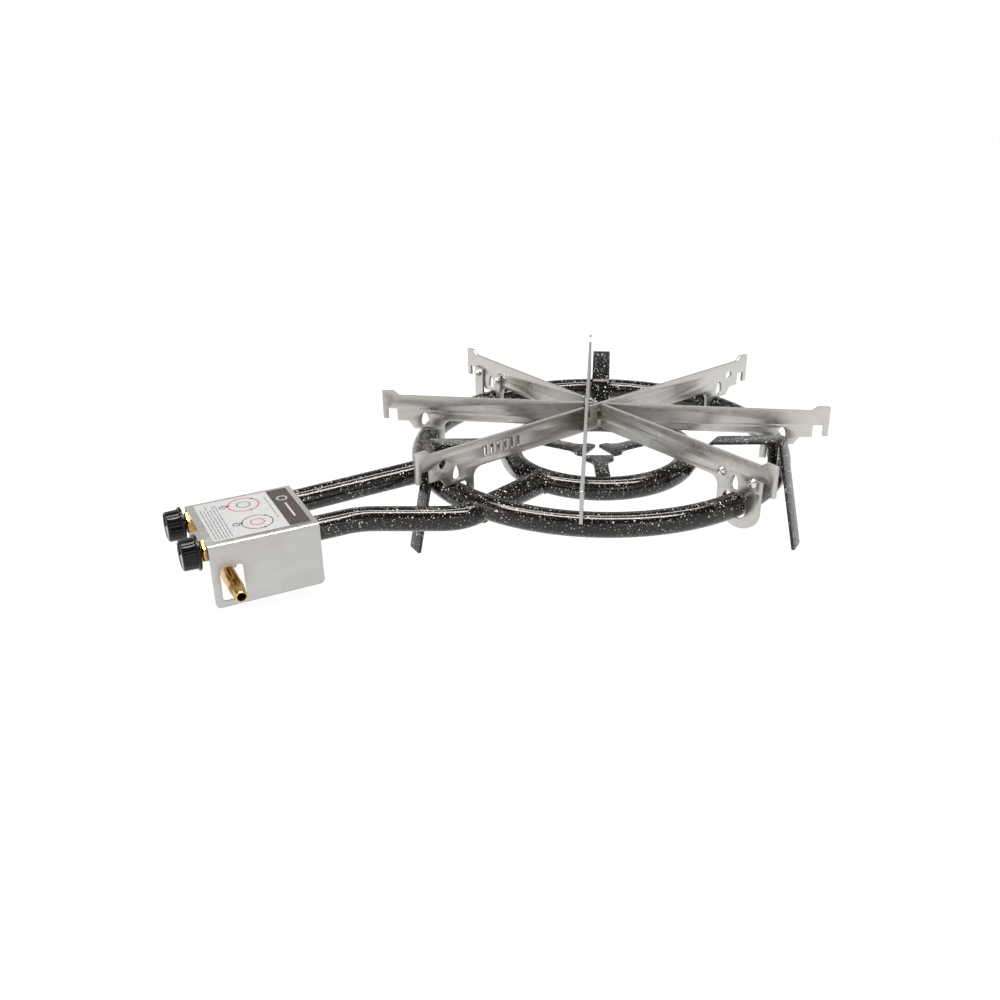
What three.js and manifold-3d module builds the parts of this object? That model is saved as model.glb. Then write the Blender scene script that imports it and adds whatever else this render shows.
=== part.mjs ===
// Two-ring gas burner stand: two enamelled ring burners on three strap legs, a bolted cross of
// stainless pan-support bars, and a folded control cover with two gas taps.
// Millimetres. +X runs from the control box towards the rings, +Z is up, the floor is Z = 0.
import * as THREE from 'three';
import { mergeVertices } from 'three/addons/utils/BufferGeometryUtils.js';
import Module from 'manifold-3d';

const wasm = await Module();
wasm.setup();

// ---------------------------------------------------------------- overall frame
const FLOOR = 64.5;          // ring-tube centre of the outer ring above the floor
const SHIFT_X = 109.92;      // puts the origin in the middle of the footprint
const GAP = 0.3;             // running gap between parts that touch
const DEG = Math.PI / 180;

// ---------------------------------------------------------------- burner rings
const TUBE_R = 12;           // outside radius of every gas tube
const TUBE_WALL = 1.6;
const BORE_R = TUBE_R - TUBE_WALL;
const OUTER_R = 188;         // centre-line radius of the outer ring (400 mm over the tube)
const INNER_R = 93.5;        // centre-line radius of the inner ring
const INNER_Z = -7;          // inner ring sits a little lower than the outer ring
const OUTER_SEG = 64, INNER_SEG = 44, TUBE_SEG = 14;

// ---------------------------------------------------------------- feed tubes
const OUTER_FEED = [[-381.5, 32.4, -7.1], [-186, 35.6, -1.2]];
const INNER_FEED = [[-381.5, -31.5, -5.8], [-283, -31.5, -5.8], [-198, -77, -6], [-86.6, -35.4, -7]];
const FEED_BEND_1 = 60, FEED_BEND_2 = 42;

// ---------------------------------------------------------------- strap legs
const LEG_ANGLES = { left: 182.5, right: 302.5, back: 57.5 };
const STRAP_W = 20, STRAP_T = 3;
const STRAP_PATH = [[106.6, -5.5], [127, 31.5], [196, 45.5], [222.2, -75]];   // radius, height
const STRAP_BENDS = [7, 5];
const POST_T = 3;

// ---------------------------------------------------------------- inner fingers
const FINGER_ANGLES = { front: 242.5, right: 2.5, back: 122.5 };
const FINGER_Z = [-9, -5];

// ---------------------------------------------------------------- pan-support bars
const BAR_ANGLES = { a: 324.4, b: 280.6, c: 237.7, d: 191.4 };
const BAR_OFFSET = { a: 0, b: 0, c: -13.5, d: 0 };   // bar c runs beside the centre
const BAR_T = 3;
const ARM_R = 235;           // reach of each arm
const BAND_BOTTOM = 23, BAND_TOP = 50, STOP_TOP = 54.6;
const SLOT_HALF = 4.4, SLOT_SQUARE = 2.4;   // half widths of the lap slots
// Lap slots: position along the bar, half width, open side, height where the slot ends
const LAP_1 = 32, LAP_MID = 36.5, LAP_2 = 41;
const BAR_SLOTS = {
  a: [[0, SLOT_HALF, 'top', LAP_1], [-13.52, SLOT_SQUARE, 'top', LAP_MID]],
  b: [[0, SLOT_HALF, 'top', LAP_2], [0, SLOT_HALF, 'bottom', LAP_1], [-19.83, SLOT_HALF, 'top', LAP_MID]],
  c: [[-14.53, SLOT_HALF, 'bottom', LAP_MID], [-0.78, SLOT_SQUARE, 'bottom', LAP_MID], [12.9, SLOT_HALF, 'bottom', LAP_MID]],
  d: [[0, SLOT_HALF, 'bottom', LAP_2], [18.67, SLOT_HALF, 'top', LAP_MID]],
};
const BOLT_R_IN = 171.7, BOLT_R_OUT = 209.6, BOLT_Z = 30;
const CLAMP_T = 2.5;

// ---------------------------------------------------------------- control box
const BOX_X = -377.5, BOX_Y = -1, BOX_L = 101, BOX_W = 97, BOX_H = 62, BOX_TOP = 8, SHEET = 1.5;
const TAP_Y = { outer: 32.4, inner: -31.5 };
const TAP_Z = -3.2;
const KNOB_R = 14.6, KNOB_FLANGE_R = 16.6, KNOB_FLANGE_T = 3, KNOB_LEN = 16;
const NIPPLE_LEN = 67;

// ================================================================= helpers
function soup(geometry) {
  const g = geometry.index ? geometry.toNonIndexed() : geometry;
  const bare = new THREE.BufferGeometry();
  bare.setAttribute('position', g.getAttribute('position').clone());
  return mergeVertices(bare, 1e-4);
}
function solid(geometry) {
  const g = soup(geometry);
  return new wasm.Manifold(new wasm.Mesh({
    numProp: 3,
    vertProperties: new Float32Array(g.getAttribute('position').array),
    triVerts: new Uint32Array(g.getIndex().array),
  }));
}
function back(manifold) {
  const m = manifold.getMesh();
  const g = new THREE.BufferGeometry();
  const p = new Float32Array((m.vertProperties.length / m.numProp) * 3);
  for (let i = 0, k = 0; i < m.vertProperties.length; i += m.numProp) {
    p[k++] = m.vertProperties[i]; p[k++] = m.vertProperties[i + 1]; p[k++] = m.vertProperties[i + 2];
  }
  g.setAttribute('position', new THREE.BufferAttribute(p, 3));
  g.setIndex(new THREE.BufferAttribute(new Uint32Array(m.triVerts), 1));
  return g;
}
function polyShape(points, holes = []) {
  const s = new THREE.Shape(points.map(([x, y]) => new THREE.Vector2(x, y)));
  for (const h of holes) s.holes.push(new THREE.Path(h.map(([x, y]) => new THREE.Vector2(x, y))));
  return s;
}
function circlePoints(cx, cy, r, n = 16, ry = r) {
  const out = [];
  for (let i = 0; i < n; i++) {
    const a = (i / n) * 2 * Math.PI;
    out.push([cx + r * Math.cos(a), cy + ry * Math.sin(a)]);
  }
  return out;
}
function arcPoints(cx, cy, r, a0, a1, n) {
  const out = [];
  for (let i = 0; i <= n; i++) {
    const a = (a0 + ((a1 - a0) * i) / n) * DEG;
    out.push([cx + r * Math.cos(a), cy + r * Math.sin(a)]);
  }
  return out;
}
function extrude(points, depth, holes = []) {
  return new THREE.ExtrudeGeometry(polyShape(points, holes), { depth, bevelEnabled: false, curveSegments: 12 });
}
// Flat profile drawn as (radius, height), thickness along the tangent, standing at an angle.
function radialPlate(points, thickness, angleDeg, holes = [], tangentOffset = -thickness / 2) {
  const g = extrude(points, thickness, holes);
  const a = angleDeg * DEG;
  const r = new THREE.Vector3(Math.cos(a), Math.sin(a), 0);
  const t = new THREE.Vector3(-Math.sin(a), Math.cos(a), 0);
  const up = new THREE.Vector3(0, 0, 1);
  // profile x -> r, profile y -> up, extrusion -> -t keeps the frame right-handed
  const m = new THREE.Matrix4().makeBasis(r, up, t.clone().negate());
  g.translate(0, 0, -(tangentOffset + thickness));
  g.applyMatrix4(m);
  return g;
}
function cylinderBetween(a, b, radius, segments = 24) {
  const A = new THREE.Vector3(...a), B = new THREE.Vector3(...b);
  const d = B.clone().sub(A);
  const g = new THREE.CylinderGeometry(radius, radius, d.length(), segments, 1);
  g.translate(0, d.length() / 2, 0);
  g.applyQuaternion(new THREE.Quaternion().setFromUnitVectors(new THREE.Vector3(0, 1, 0), d.normalize()));
  g.translate(A.x, A.y, A.z);
  return g;
}
function box(x0, x1, y0, y1, z0, z1) {
  const g = new THREE.BoxGeometry(x1 - x0, y1 - y0, z1 - z0);
  g.translate((x0 + x1) / 2, (y0 + y1) / 2, (z0 + z1) / 2);
  return g;
}
function torus(R, r, z, major, minor) {
  const g = new THREE.TorusGeometry(R, r, minor, major);
  g.translate(0, 0, z);
  return g;
}
// Revolved profile (radius, length) laid along a direction from a start point.
function turned(profile, start, direction, segments = 24) {
  const g = new THREE.LatheGeometry(profile.map(([r, h]) => new THREE.Vector2(r, h)), segments);
  g.applyQuaternion(new THREE.Quaternion().setFromUnitVectors(new THREE.Vector3(0, 1, 0), new THREE.Vector3(...direction).normalize()));
  g.translate(...start);
  return g;
}
function hexPoints(cx, cy, acrossFlats) {
  const r = acrossFlats / 2 / Math.cos(30 * DEG);
  return circlePoints(cx, cy, r, 6);
}
// Centre line with rounded corners.
function roundedPath(points, radii) {
  const P = points.map((p) => new THREE.Vector3(...p));
  const path = new THREE.CurvePath();
  let cursor = P[0];
  for (let i = 1; i < P.length - 1; i++) {
    const u = P[i - 1].clone().sub(P[i]).normalize();
    const v = P[i + 1].clone().sub(P[i]).normalize();
    const half = u.angleTo(v) / 2;
    const cut = radii[i - 1] / Math.tan(half);
    const a = P[i].clone().addScaledVector(u, cut);
    const b = P[i].clone().addScaledVector(v, cut);
    path.add(new THREE.LineCurve3(cursor, a));
    path.add(new THREE.QuadraticBezierCurve3(a, P[i], b));
    cursor = b;
  }
  path.add(new THREE.LineCurve3(cursor, P[P.length - 1]));
  return path;
}
function sweep(points, radii, outer, inner, steps) {
  const s = new THREE.Shape(circlePoints(0, 0, outer, TUBE_SEG).map(([x, y]) => new THREE.Vector2(x, y)));
  if (inner > 0) s.holes.push(new THREE.Path(circlePoints(0, 0, inner, TUBE_SEG).map(([x, y]) => new THREE.Vector2(x, y))));
  const rounded = roundedPath(points, radii);
  const curve = new THREE.CatmullRomCurve3(rounded.getSpacedPoints(steps * 3), false, 'centripetal');
  return new THREE.ExtrudeGeometry(s, { steps, bevelEnabled: false, extrudePath: curve });
}
// Bent strip: offset outline of a polyline with rounded bends.
function stripOutline(path, thickness, bends) {
  const P = path.map(([x, y]) => new THREE.Vector2(x, y));
  const mid = [P[0].clone()];
  for (let i = 1; i < P.length - 1; i++) {
    const u = P[i - 1].clone().sub(P[i]).normalize();
    const v = P[i + 1].clone().sub(P[i]).normalize();
    const half = Math.acos(u.dot(v)) / 2;
    const R = bends[i - 1];
    const cut = R / Math.tan(half);
    const c = P[i].clone().addScaledVector(u.clone().add(v).normalize(), R / Math.sin(half));
    const a = P[i].clone().addScaledVector(u, cut).sub(c);
    const b = P[i].clone().addScaledVector(v, cut).sub(c);
    const a0 = Math.atan2(a.y, a.x);
    let da = Math.atan2(b.y, b.x) - a0;
    if (da > Math.PI) da -= 2 * Math.PI;
    if (da < -Math.PI) da += 2 * Math.PI;
    for (let k = 0; k <= 5; k++) {
      const t = a0 + (da * k) / 5;
      mid.push(new THREE.Vector2(c.x + R * Math.cos(t), c.y + R * Math.sin(t)));
    }
  }
  mid.push(P[P.length - 1].clone());
  const left = [], right = [];
  for (let i = 0; i < mid.length; i++) {
    const d0 = mid[Math.min(i + 1, mid.length - 1)].clone().sub(mid[Math.min(i, mid.length - 2)]).normalize();
    const d1 = mid[Math.max(i, 1)].clone().sub(mid[Math.max(i - 1, 0)]).normalize();
    const n = new THREE.Vector2(-(d0.y + d1.y), d0.x + d1.x).normalize();
    const s = thickness / 2 / Math.max(0.5, n.dot(new THREE.Vector2(-d0.y, d0.x)));
    left.push([mid[i].x + n.x * s, mid[i].y + n.y * s]);
    right.push([mid[i].x - n.x * s, mid[i].y - n.y * s]);
  }
  return left.concat(right.reverse());
}

// ================================================================= materials
const ENAMEL = { color: 0x17181a, roughness: 0.28, metalness: 0.0 };
const STAINLESS = { color: 0xb9b9b4, roughness: 0.38, metalness: 0.9 };
const STEEL = { color: 0xc6c6c4, roughness: 0.25, metalness: 1.0 };
const BRASS = { color: 0xc79a45, roughness: 0.3, metalness: 1.0 };
const PLASTIC = { color: 0x101113, roughness: 0.22, metalness: 0.0 };
const LABEL = { color: 0xe6e5e1, roughness: 0.45, metalness: 0.0 };

const part = new THREE.Group();
part.name = 'two_ring_burner_stand';
function put(name, geometry, material) {
  const g = soup(geometry);
  g.translate(SHIFT_X, 0, FLOOR);
  g.computeVertexNormals();
  const mesh = new THREE.Mesh(g, new THREE.MeshStandardMaterial(material));
  mesh.name = name;
  part.add(mesh);
}

// ================================================================= rings and feed tubes
// Straight run of the inner feed through the outer ring.
const innerRun0 = INNER_FEED[2], innerRun1 = INNER_FEED[3];
const runAt = (t) => innerRun0.map((v, i) => v + (innerRun1[i] - v) * t);
const passage = solid(sweep(INNER_FEED, [FEED_BEND_1, FEED_BEND_2], TUBE_R + GAP, 0, 30));

{
  let ring = solid(torus(OUTER_R, TUBE_R, 0, OUTER_SEG, TUBE_SEG))
    .subtract(solid(torus(OUTER_R, BORE_R, 0, OUTER_SEG, TUBE_SEG)));
  const [x0, y0, z0] = OUTER_FEED[0], [x1, y1, z1] = OUTER_FEED[1];
  const back10 = [x1 - (x1 - x0) * 0.12, y1 - (y1 - y0) * 0.12, z1 - (z1 - z0) * 0.12];
  ring = ring.subtract(solid(cylinderBetween(back10, [x1, y1, z1], BORE_R - 0.2, TUBE_SEG)));
  ring = ring.subtract(passage);
  put('outer_ring', back(ring), ENAMEL);

  const feed = solid(sweep(OUTER_FEED, [], TUBE_R, BORE_R, 6))
    .subtract(solid(torus(OUTER_R, TUBE_R + GAP, 0, OUTER_SEG, TUBE_SEG)));
  // keep only the run outside the ring
  const keep = solid(box(-400, -190, 0, 80, -40, 40));
  put('outer_feed_tube', back(feed.intersect(keep)), ENAMEL);
}
{
  let ring = solid(torus(INNER_R, TUBE_R, INNER_Z, INNER_SEG, TUBE_SEG))
    .subtract(solid(torus(INNER_R, BORE_R, INNER_Z, INNER_SEG, TUBE_SEG)));
  ring = ring.subtract(solid(cylinderBetween(runAt(0.72), runAt(1.0), BORE_R - 0.2, TUBE_SEG)));
  put('inner_ring', back(ring), ENAMEL);

  const feed = solid(sweep(INNER_FEED, [FEED_BEND_1, FEED_BEND_2], TUBE_R, BORE_R, 30))
    .subtract(solid(torus(INNER_R, TUBE_R + GAP, INNER_Z, INNER_SEG, TUBE_SEG)));
  const keep = solid(cylinderBetween([0, 0, -60], [0, 0, 60], INNER_R + 6, 48));
  put('inner_feed_tube', back(feed.subtract(keep)), ENAMEL);
}

// ================================================================= strap legs with their posts
const innerKeepout = solid(torus(INNER_R, TUBE_R + GAP, INNER_Z, INNER_SEG, TUBE_SEG));
const outerKeepout = solid(torus(OUTER_R, TUBE_R + GAP, 0, OUTER_SEG, TUBE_SEG));
const belowFloor = solid(box(-400, 400, -400, 400, -140, -FLOOR));
const innerHub = solid(cylinderBetween([0, 0, -60], [0, 0, 20], INNER_R + 4, 48));
const strapSlope = (STRAP_PATH[2][1] - STRAP_PATH[1][1]) / (STRAP_PATH[2][0] - STRAP_PATH[1][0]);
const strapUnder = (r) => STRAP_PATH[1][1] + (r - STRAP_PATH[1][0]) * strapSlope
  - (STRAP_T / 2) * Math.hypot(1, strapSlope) - GAP;
const strapProfile = stripOutline(STRAP_PATH, STRAP_T, STRAP_BENDS);
for (const [side, angle] of Object.entries(LEG_ANGLES)) {
  const strip = solid(radialPlate(strapProfile, STRAP_W, angle))
    .subtract(innerKeepout).subtract(belowFloor).subtract(innerHub);
  put(`leg_strap_${side}`, back(strip), ENAMEL);

  const flareZ = strapUnder(173.5) - 10 * Math.hypot(1, strapSlope);
  const post = [[183.5, 6], [192.6, 6], [192.6, strapUnder(192.6)], [172.6, strapUnder(172.6)]]
    .concat(arcPoints(173.5, flareZ, 10, 88, 0, 7));
  put(`leg_post_${side}`, back(solid(radialPlate(post, POST_T, angle)).subtract(outerKeepout)), ENAMEL);
}

// ================================================================= inner fingers
const fingerOutline = [[11, -15], [19.5, -15]]
  .concat([[22.5, -12.2], [26, -9.4], [30, -7.8], [34, -7.5]])
  .concat([[86, -7.5], [86, 7.5], [34, 7.5], [30, 7.8], [26, 9.4], [22.5, 12.2], [19.5, 15], [11, 15]]);
for (const [side, angle] of Object.entries(FINGER_ANGLES)) {
  const g = extrude(fingerOutline, FINGER_Z[1] - FINGER_Z[0]);
  g.translate(0, 0, FINGER_Z[0]);
  g.rotateZ(angle * DEG);
  put(`centre_finger_${side}`, back(solid(g).subtract(innerKeepout)), ENAMEL);
}

// ================================================================= pan-support bars
// Half profile (radius, height), outside end first, running under the band to the centre.
const armLower = [
  [ARM_R, STOP_TOP], [ARM_R, BAND_BOTTOM + 0.2], [229.2, BAND_BOTTOM - 0.4], [229.2, 34.5], [219.3, 34.5],
  [219.3, 21], [207, 21], [201, 12.3 + 0.1], [188, 12.3 + 0.1], [178.2, 12.4], [175.4, 8], [175.4, -4],
  [168, -4], [168, 14], [167.1, 17.6], [165, 20.6], [162, 22.4], [158.5, BAND_BOTTOM],
];
const armTop = [[216.5, BAND_TOP], [222.6, STOP_TOP + 0.4]];
function barOutline(key) {
  const slots = BAR_SLOTS[key];
  // the hook of an offset bar meets the ring tube a little further out
  const hook = BAR_OFFSET[key] ? 0.9 : 0;
  const lower = armLower.map(([r, z]) => (r > 170 && r < 179 ? [r - hook, z] : [r, z]));
  const out = lower.slice();
  // lower edge from +r to -r
  for (const [r, half, , z] of slots.filter((q) => q[2] === 'bottom').sort((p, q) => q[0] - p[0])) {
    out.push([r + half, BAND_BOTTOM], [r + half, z + 0.15], [r - half, z + 0.15], [r - half, BAND_BOTTOM]);
  }
  out.push(...lower.slice().reverse().map(([r, z]) => [-r, z]));
  // upper edge from -r to +r
  out.push(...armTop.slice().reverse().map(([r, z]) => [-r, z]));
  for (const [r, half, , z] of slots.filter((q) => q[2] === 'top').sort((p, q) => p[0] - q[0])) {
    out.push([r - half, BAND_TOP], [r - half, z - 0.15], [r + half, z - 0.15], [r + half, BAND_TOP]);
  }
  out.push(...armTop);
  return out.reverse();
}
function teardrop(r) {
  const out = [];
  for (const [x, z] of arcPoints(0, 20.4, 4.6, 200, 340, 7)) out.push([r + x, z]);
  out.push([r + 4.2, 22.6], [r + 2.6, 28.2], [r + 1.1, 30.8], [r - 1.1, 30.8], [r - 2.6, 28.2], [r - 4.2, 22.6]);
  return out;
}
function pointedHole(r, z) {
  const out = arcPoints(0, 0, 4.6, -30, 210, 10).map(([x, y]) => [r + x, z + y]);
  out.push([r, z - 6.2]);
  return out;
}
for (const [key, angle] of Object.entries(BAR_ANGLES)) {
  const holes = [];
  for (const s of [1, -1]) {
    holes.push(teardrop(188.5).map(([r, z]) => [s * r, z]));
    if (key === 'd') holes.push(pointedHole(204, 36).map(([r, z]) => [s * r, z]));
    if (key === 'b') {
      holes.push(circlePoints(s * BOLT_R_IN, BOLT_Z, 2.8, 12));
      holes.push(circlePoints(s * BOLT_R_OUT, BOLT_Z, 2.8, 12));
    }
  }
  if (key === 'd') {
    // plain row of upright slots in one arm
    for (let i = 0; i < 6; i++) {
      const r = 112 + i * 8.2;
      holes.push([...arcPoints(r, 41, 1.6, 0, 180, 4), ...arcPoints(r, 32.5, 1.6, 180, 360, 4)]);
    }
  }
  put(`support_bar_${key}`, radialPlate(barOutline(key), BAR_T, angle, holes, BAR_OFFSET[key] - BAR_T / 2), STAINLESS);
}

// U-shaped clamps round the outer ring tube, bolted behind both ends of bar b
const clampOutline = (() => {
  const out = [[217, 35.5], [215.5, 37], [203.5, 37], [202, 35.5]];
  for (let i = 0; i <= 12; i++) {
    const a = (-180 * i) / 12;
    out.push([188.7 + 13.3 * Math.cos(a * DEG), 13.3 * Math.sin(a * DEG)]);
  }
  out.push([175.4, 35.5], [174, 37], [169.4, 37], [168, 35.5]);
  for (let i = 0; i <= 6; i++) {
    const a = 180 + (90 * i) / 6;
    out.push([190 + 22 * Math.cos(a * DEG), 22.5 * Math.sin(a * DEG)]);
  }
  for (let i = 1; i <= 6; i++) {
    const a = 270 + (90 * i) / 6;
    out.push([190 + 27 * Math.cos(a * DEG), 22.5 * Math.sin(a * DEG)]);
  }
  return out;
})();
for (const [side, angle] of [['front', BAR_ANGLES.b], ['back', BAR_ANGLES.b - 180]]) {
  const holes = [circlePoints(BOLT_R_IN, BOLT_Z, 2.8, 12), circlePoints(BOLT_R_OUT, BOLT_Z, 2.8, 12)];
  put(`ring_clamp_${side}`, radialPlate(clampOutline, CLAMP_T, angle, holes, BAR_T / 2 + 0.2), STAINLESS);
  const a = angle * DEG;
  const t = [-Math.sin(a), Math.cos(a), 0];
  const at = (r, z, s) => [r * Math.cos(a) + t[0] * s, r * Math.sin(a) + t[1] * s, z];
  for (const [pos, r] of [['inner', BOLT_R_IN], ['outer', BOLT_R_OUT]]) {
    const head = -BAR_T / 2 - 0.15;
    // dome head, shank through bar and clamp
    put(`clamp_bolt_${side}_${pos}`, turned(
      [[0, -3.1], [1.8, -2.9], [3.3, -2.2], [4.3, -1.1], [4.6, 0], [2.5, 0], [2.5, 11], [0, 11]],
      at(r, BOLT_Z, head), t, 14), STEEL);
    const nut = extrude(hexPoints(0, 0, 7), 3.6, [circlePoints(0, 0, 2.75, 12)]);
    nut.applyMatrix4(new THREE.Matrix4().makeBasis(new THREE.Vector3(0, 0, 1), new THREE.Vector3(Math.cos(a), Math.sin(a), 0), new THREE.Vector3(...t)));
    nut.translate(...at(r, BOLT_Z, BAR_T / 2 + 0.2 + CLAMP_T + 0.15));
    put(`clamp_nut_${side}_${pos}`, nut, STEEL);
  }
}

// ================================================================= control box cover and label
{
  const y0 = BOX_Y - BOX_W / 2, y1 = BOX_Y + BOX_W / 2, z1 = BOX_TOP, z0 = BOX_TOP - BOX_H, R = 3;
  const section = [[y0, z0], [y0 + SHEET, z0]]
    .concat(arcPoints(y0 + R, z1 - R, R - SHEET, 180, 90, 4))
    .concat(arcPoints(y1 - R, z1 - R, R - SHEET, 90, 0, 4))
    .concat([[y1 - SHEET, z0], [y1, z0]])
    .concat(arcPoints(y1 - R, z1 - R, R, 0, 90, 5))
    .concat(arcPoints(y0 + R, z1 - R, R, 90, 180, 5));
  const g = extrude(section, BOX_L);
  g.applyMatrix4(new THREE.Matrix4().makeBasis(new THREE.Vector3(0, 1, 0), new THREE.Vector3(0, 0, 1), new THREE.Vector3(1, 0, 0)));
  g.translate(BOX_X - BOX_L / 2, 0, 0);
  const xa = BOX_X - BOX_L / 2, xb = BOX_X + BOX_L / 2, c = 5;
  const side = [...arcPoints(xa + c, z0 + c, c, 180, 270, 5), ...arcPoints(xb - c, z0 + c, c, 270, 360, 5), [xb, z1 + 5], [xa, z1 + 5]];
  const alongY = new THREE.Matrix4().makeBasis(new THREE.Vector3(1, 0, 0), new THREE.Vector3(0, 0, 1), new THREE.Vector3(0, -1, 0));
  const sideG = extrude(side, 200); sideG.applyMatrix4(alongY); sideG.translate(0, 100, 0);
  const wx0 = BOX_X - 43.4, wx1 = BOX_X - 22, wz0 = -48, wz1 = -14.5, wr = 3.5;
  const win = [...arcPoints(wx0 + wr, wz0 + wr, wr, 180, 270, 4), ...arcPoints(wx1 - wr, wz0 + wr, wr, 270, 360, 4),
    ...arcPoints(wx1 - wr, wz1 - wr, wr, 0, 90, 4), ...arcPoints(wx0 + wr, wz1 - wr, wr, 90, 180, 4)];
  const winG = extrude(win, 30); winG.applyMatrix4(alongY); winG.translate(0, y0 + 15, 0);
  put('control_cover', back(solid(g).intersect(solid(sideG)).subtract(solid(winG))), STAINLESS);

  const lx0 = BOX_X - 43.7, lx1 = BOX_X + 45.4, ly0 = BOX_Y - 41.5, ly1 = BOX_Y + 41.5, lr = 1.5;
  const lab = [...arcPoints(lx0 + lr, ly0 + lr, lr, 180, 270, 3), ...arcPoints(lx1 - lr, ly0 + lr, lr, 270, 360, 3),
    ...arcPoints(lx1 - lr, ly1 - lr, lr, 0, 90, 3), ...arcPoints(lx0 + lr, ly1 - lr, lr, 90, 180, 3)];
  const labG = extrude(lab, 0.4); labG.translate(0, 0, BOX_TOP + 0.1);
  put('label_plate', labG, LABEL);
}

// ================================================================= carrier plate behind the taps
const CARRIER_X = BOX_X - 7;
{
  const y0 = BOX_Y - BOX_W / 2 + SHEET + GAP, y1 = BOX_Y + BOX_W / 2 - SHEET - GAP;
  const outline = [[y0, -21], [y1, -21], [y1, BOX_TOP - 6], [y1 - 3, BOX_TOP - SHEET - GAP], [y0 + 3, BOX_TOP - SHEET - GAP], [y0, BOX_TOP - 6]];
  const g = extrude(outline, 2.2, [circlePoints(TAP_Y.outer, TAP_Z, 8, 20), circlePoints(TAP_Y.inner, TAP_Z, 8, 20)]);
  g.applyMatrix4(new THREE.Matrix4().makeBasis(new THREE.Vector3(0, 1, 0), new THREE.Vector3(0, 0, 1), new THREE.Vector3(1, 0, 0)));
  g.translate(CARRIER_X, 0, 0);
  put('carrier_plate', g, STEEL);
}

// ================================================================= taps
const KNOB_BACK = BOX_X - BOX_L / 2 - 5.5;      // rear face of the knob flange
for (const [which, y] of Object.entries(TAP_Y)) {
  const bodyFront = BOX_X - 40, bodyBack = CARRIER_X - 5.5;
  // forged body with its front neck and its inlet boss, bored through
  let body = solid(box(bodyFront, bodyBack, y - 9, y + 9, TAP_Z - 8.5, TAP_Z + 9))
    .add(solid(cylinderBetween([bodyFront - 14.6, y, TAP_Z], [bodyFront + 2, y, TAP_Z], 7, 18)))
    .add(solid(cylinderBetween([bodyBack - 2, y, TAP_Z], [bodyBack + 5, y, TAP_Z], 6.4, 18)));
  body = body.subtract(solid(cylinderBetween([bodyFront - 16, y, TAP_Z], [bodyFront + 12, y, TAP_Z], 3.6, 14)))
    .subtract(solid(cylinderBetween([bodyBack - 9, y, TAP_Z], [bodyBack + 8, y, TAP_Z], 4.0, 14)));
  put(`tap_body_${which}`, back(body), BRASS);

  // gland nut on the front neck
  const gland = extrude(hexPoints(0, 0, 19), 9, [circlePoints(0, 0, 7.3, 18)]);
  gland.applyMatrix4(new THREE.Matrix4().makeBasis(new THREE.Vector3(0, 1, 0), new THREE.Vector3(0, 0, 1), new THREE.Vector3(1, 0, 0)));
  gland.translate(bodyFront - 14.2, y, TAP_Z);
  put(`gland_nut_${which}`, gland, BRASS);

  // jet screwed into the outlet, nose looking into the mouth of the feed tube
  const jetStart = bodyBack - 7;
  put(`jet_${which}`, turned(
    [[0.9, 0], [3.7, 0], [3.7, 12.5], [5.6, 12.5], [5.6, 16.5], [4.2, 16.5], [2.6, 23.5], [0.9, 23.5], [0.9, 0]],
    [jetStart, y, TAP_Z], [1, 0, 0], 16), BRASS);

  // spindle: stem inside the body, D-section inside the knob
  const stem = solid(cylinderBetween([KNOB_BACK - 10, y, TAP_Z], [bodyFront + 10, y, TAP_Z], 3.2, 14))
    .subtract(solid(box(KNOB_BACK - 11, KNOB_BACK + 0.6, y - 5, y + 5, TAP_Z + 2.1, TAP_Z + 6)));
  put(`spindle_${which}`, back(stem), STEEL);

  // knob with twelve shallow flutes, rear flange and D-bore
  const fluted = [];
  for (let i = 0; i < 48; i++) {
    const a = (i / 48) * 2 * Math.PI;
    const r = KNOB_R - 0.75 * (i % 4 === 0 ? 1 : 0);
    fluted.push([r * Math.cos(a), r * Math.sin(a)]);
  }
  const toX = new THREE.Matrix4().makeBasis(new THREE.Vector3(0, 1, 0), new THREE.Vector3(0, 0, 1), new THREE.Vector3(1, 0, 0));
  const grip = extrude(fluted, KNOB_LEN - KNOB_FLANGE_T + 0.2); grip.applyMatrix4(toX); grip.translate(KNOB_BACK - KNOB_LEN, y, TAP_Z);
  let knob = solid(grip)
    .add(solid(cylinderBetween([KNOB_BACK - KNOB_FLANGE_T, y, TAP_Z], [KNOB_BACK, y, TAP_Z], KNOB_FLANGE_R, 32)))
    .add(solid(box(KNOB_BACK - KNOB_LEN - 1, KNOB_BACK - KNOB_LEN + 1, y - 1.6, y + 1.6, TAP_Z + 2, TAP_Z + 13)));
  const bore = solid(cylinderBetween([KNOB_BACK - 10.5, y, TAP_Z], [KNOB_BACK + 1, y, TAP_Z], 3.5, 14))
    .subtract(solid(box(KNOB_BACK - 11, KNOB_BACK - 0.7, y - 5, y + 5, TAP_Z + 2.4, TAP_Z + 6)));
  knob = knob.subtract(bore);
  put(`knob_${which}`, back(knob), PLASTIC);
}

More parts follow.
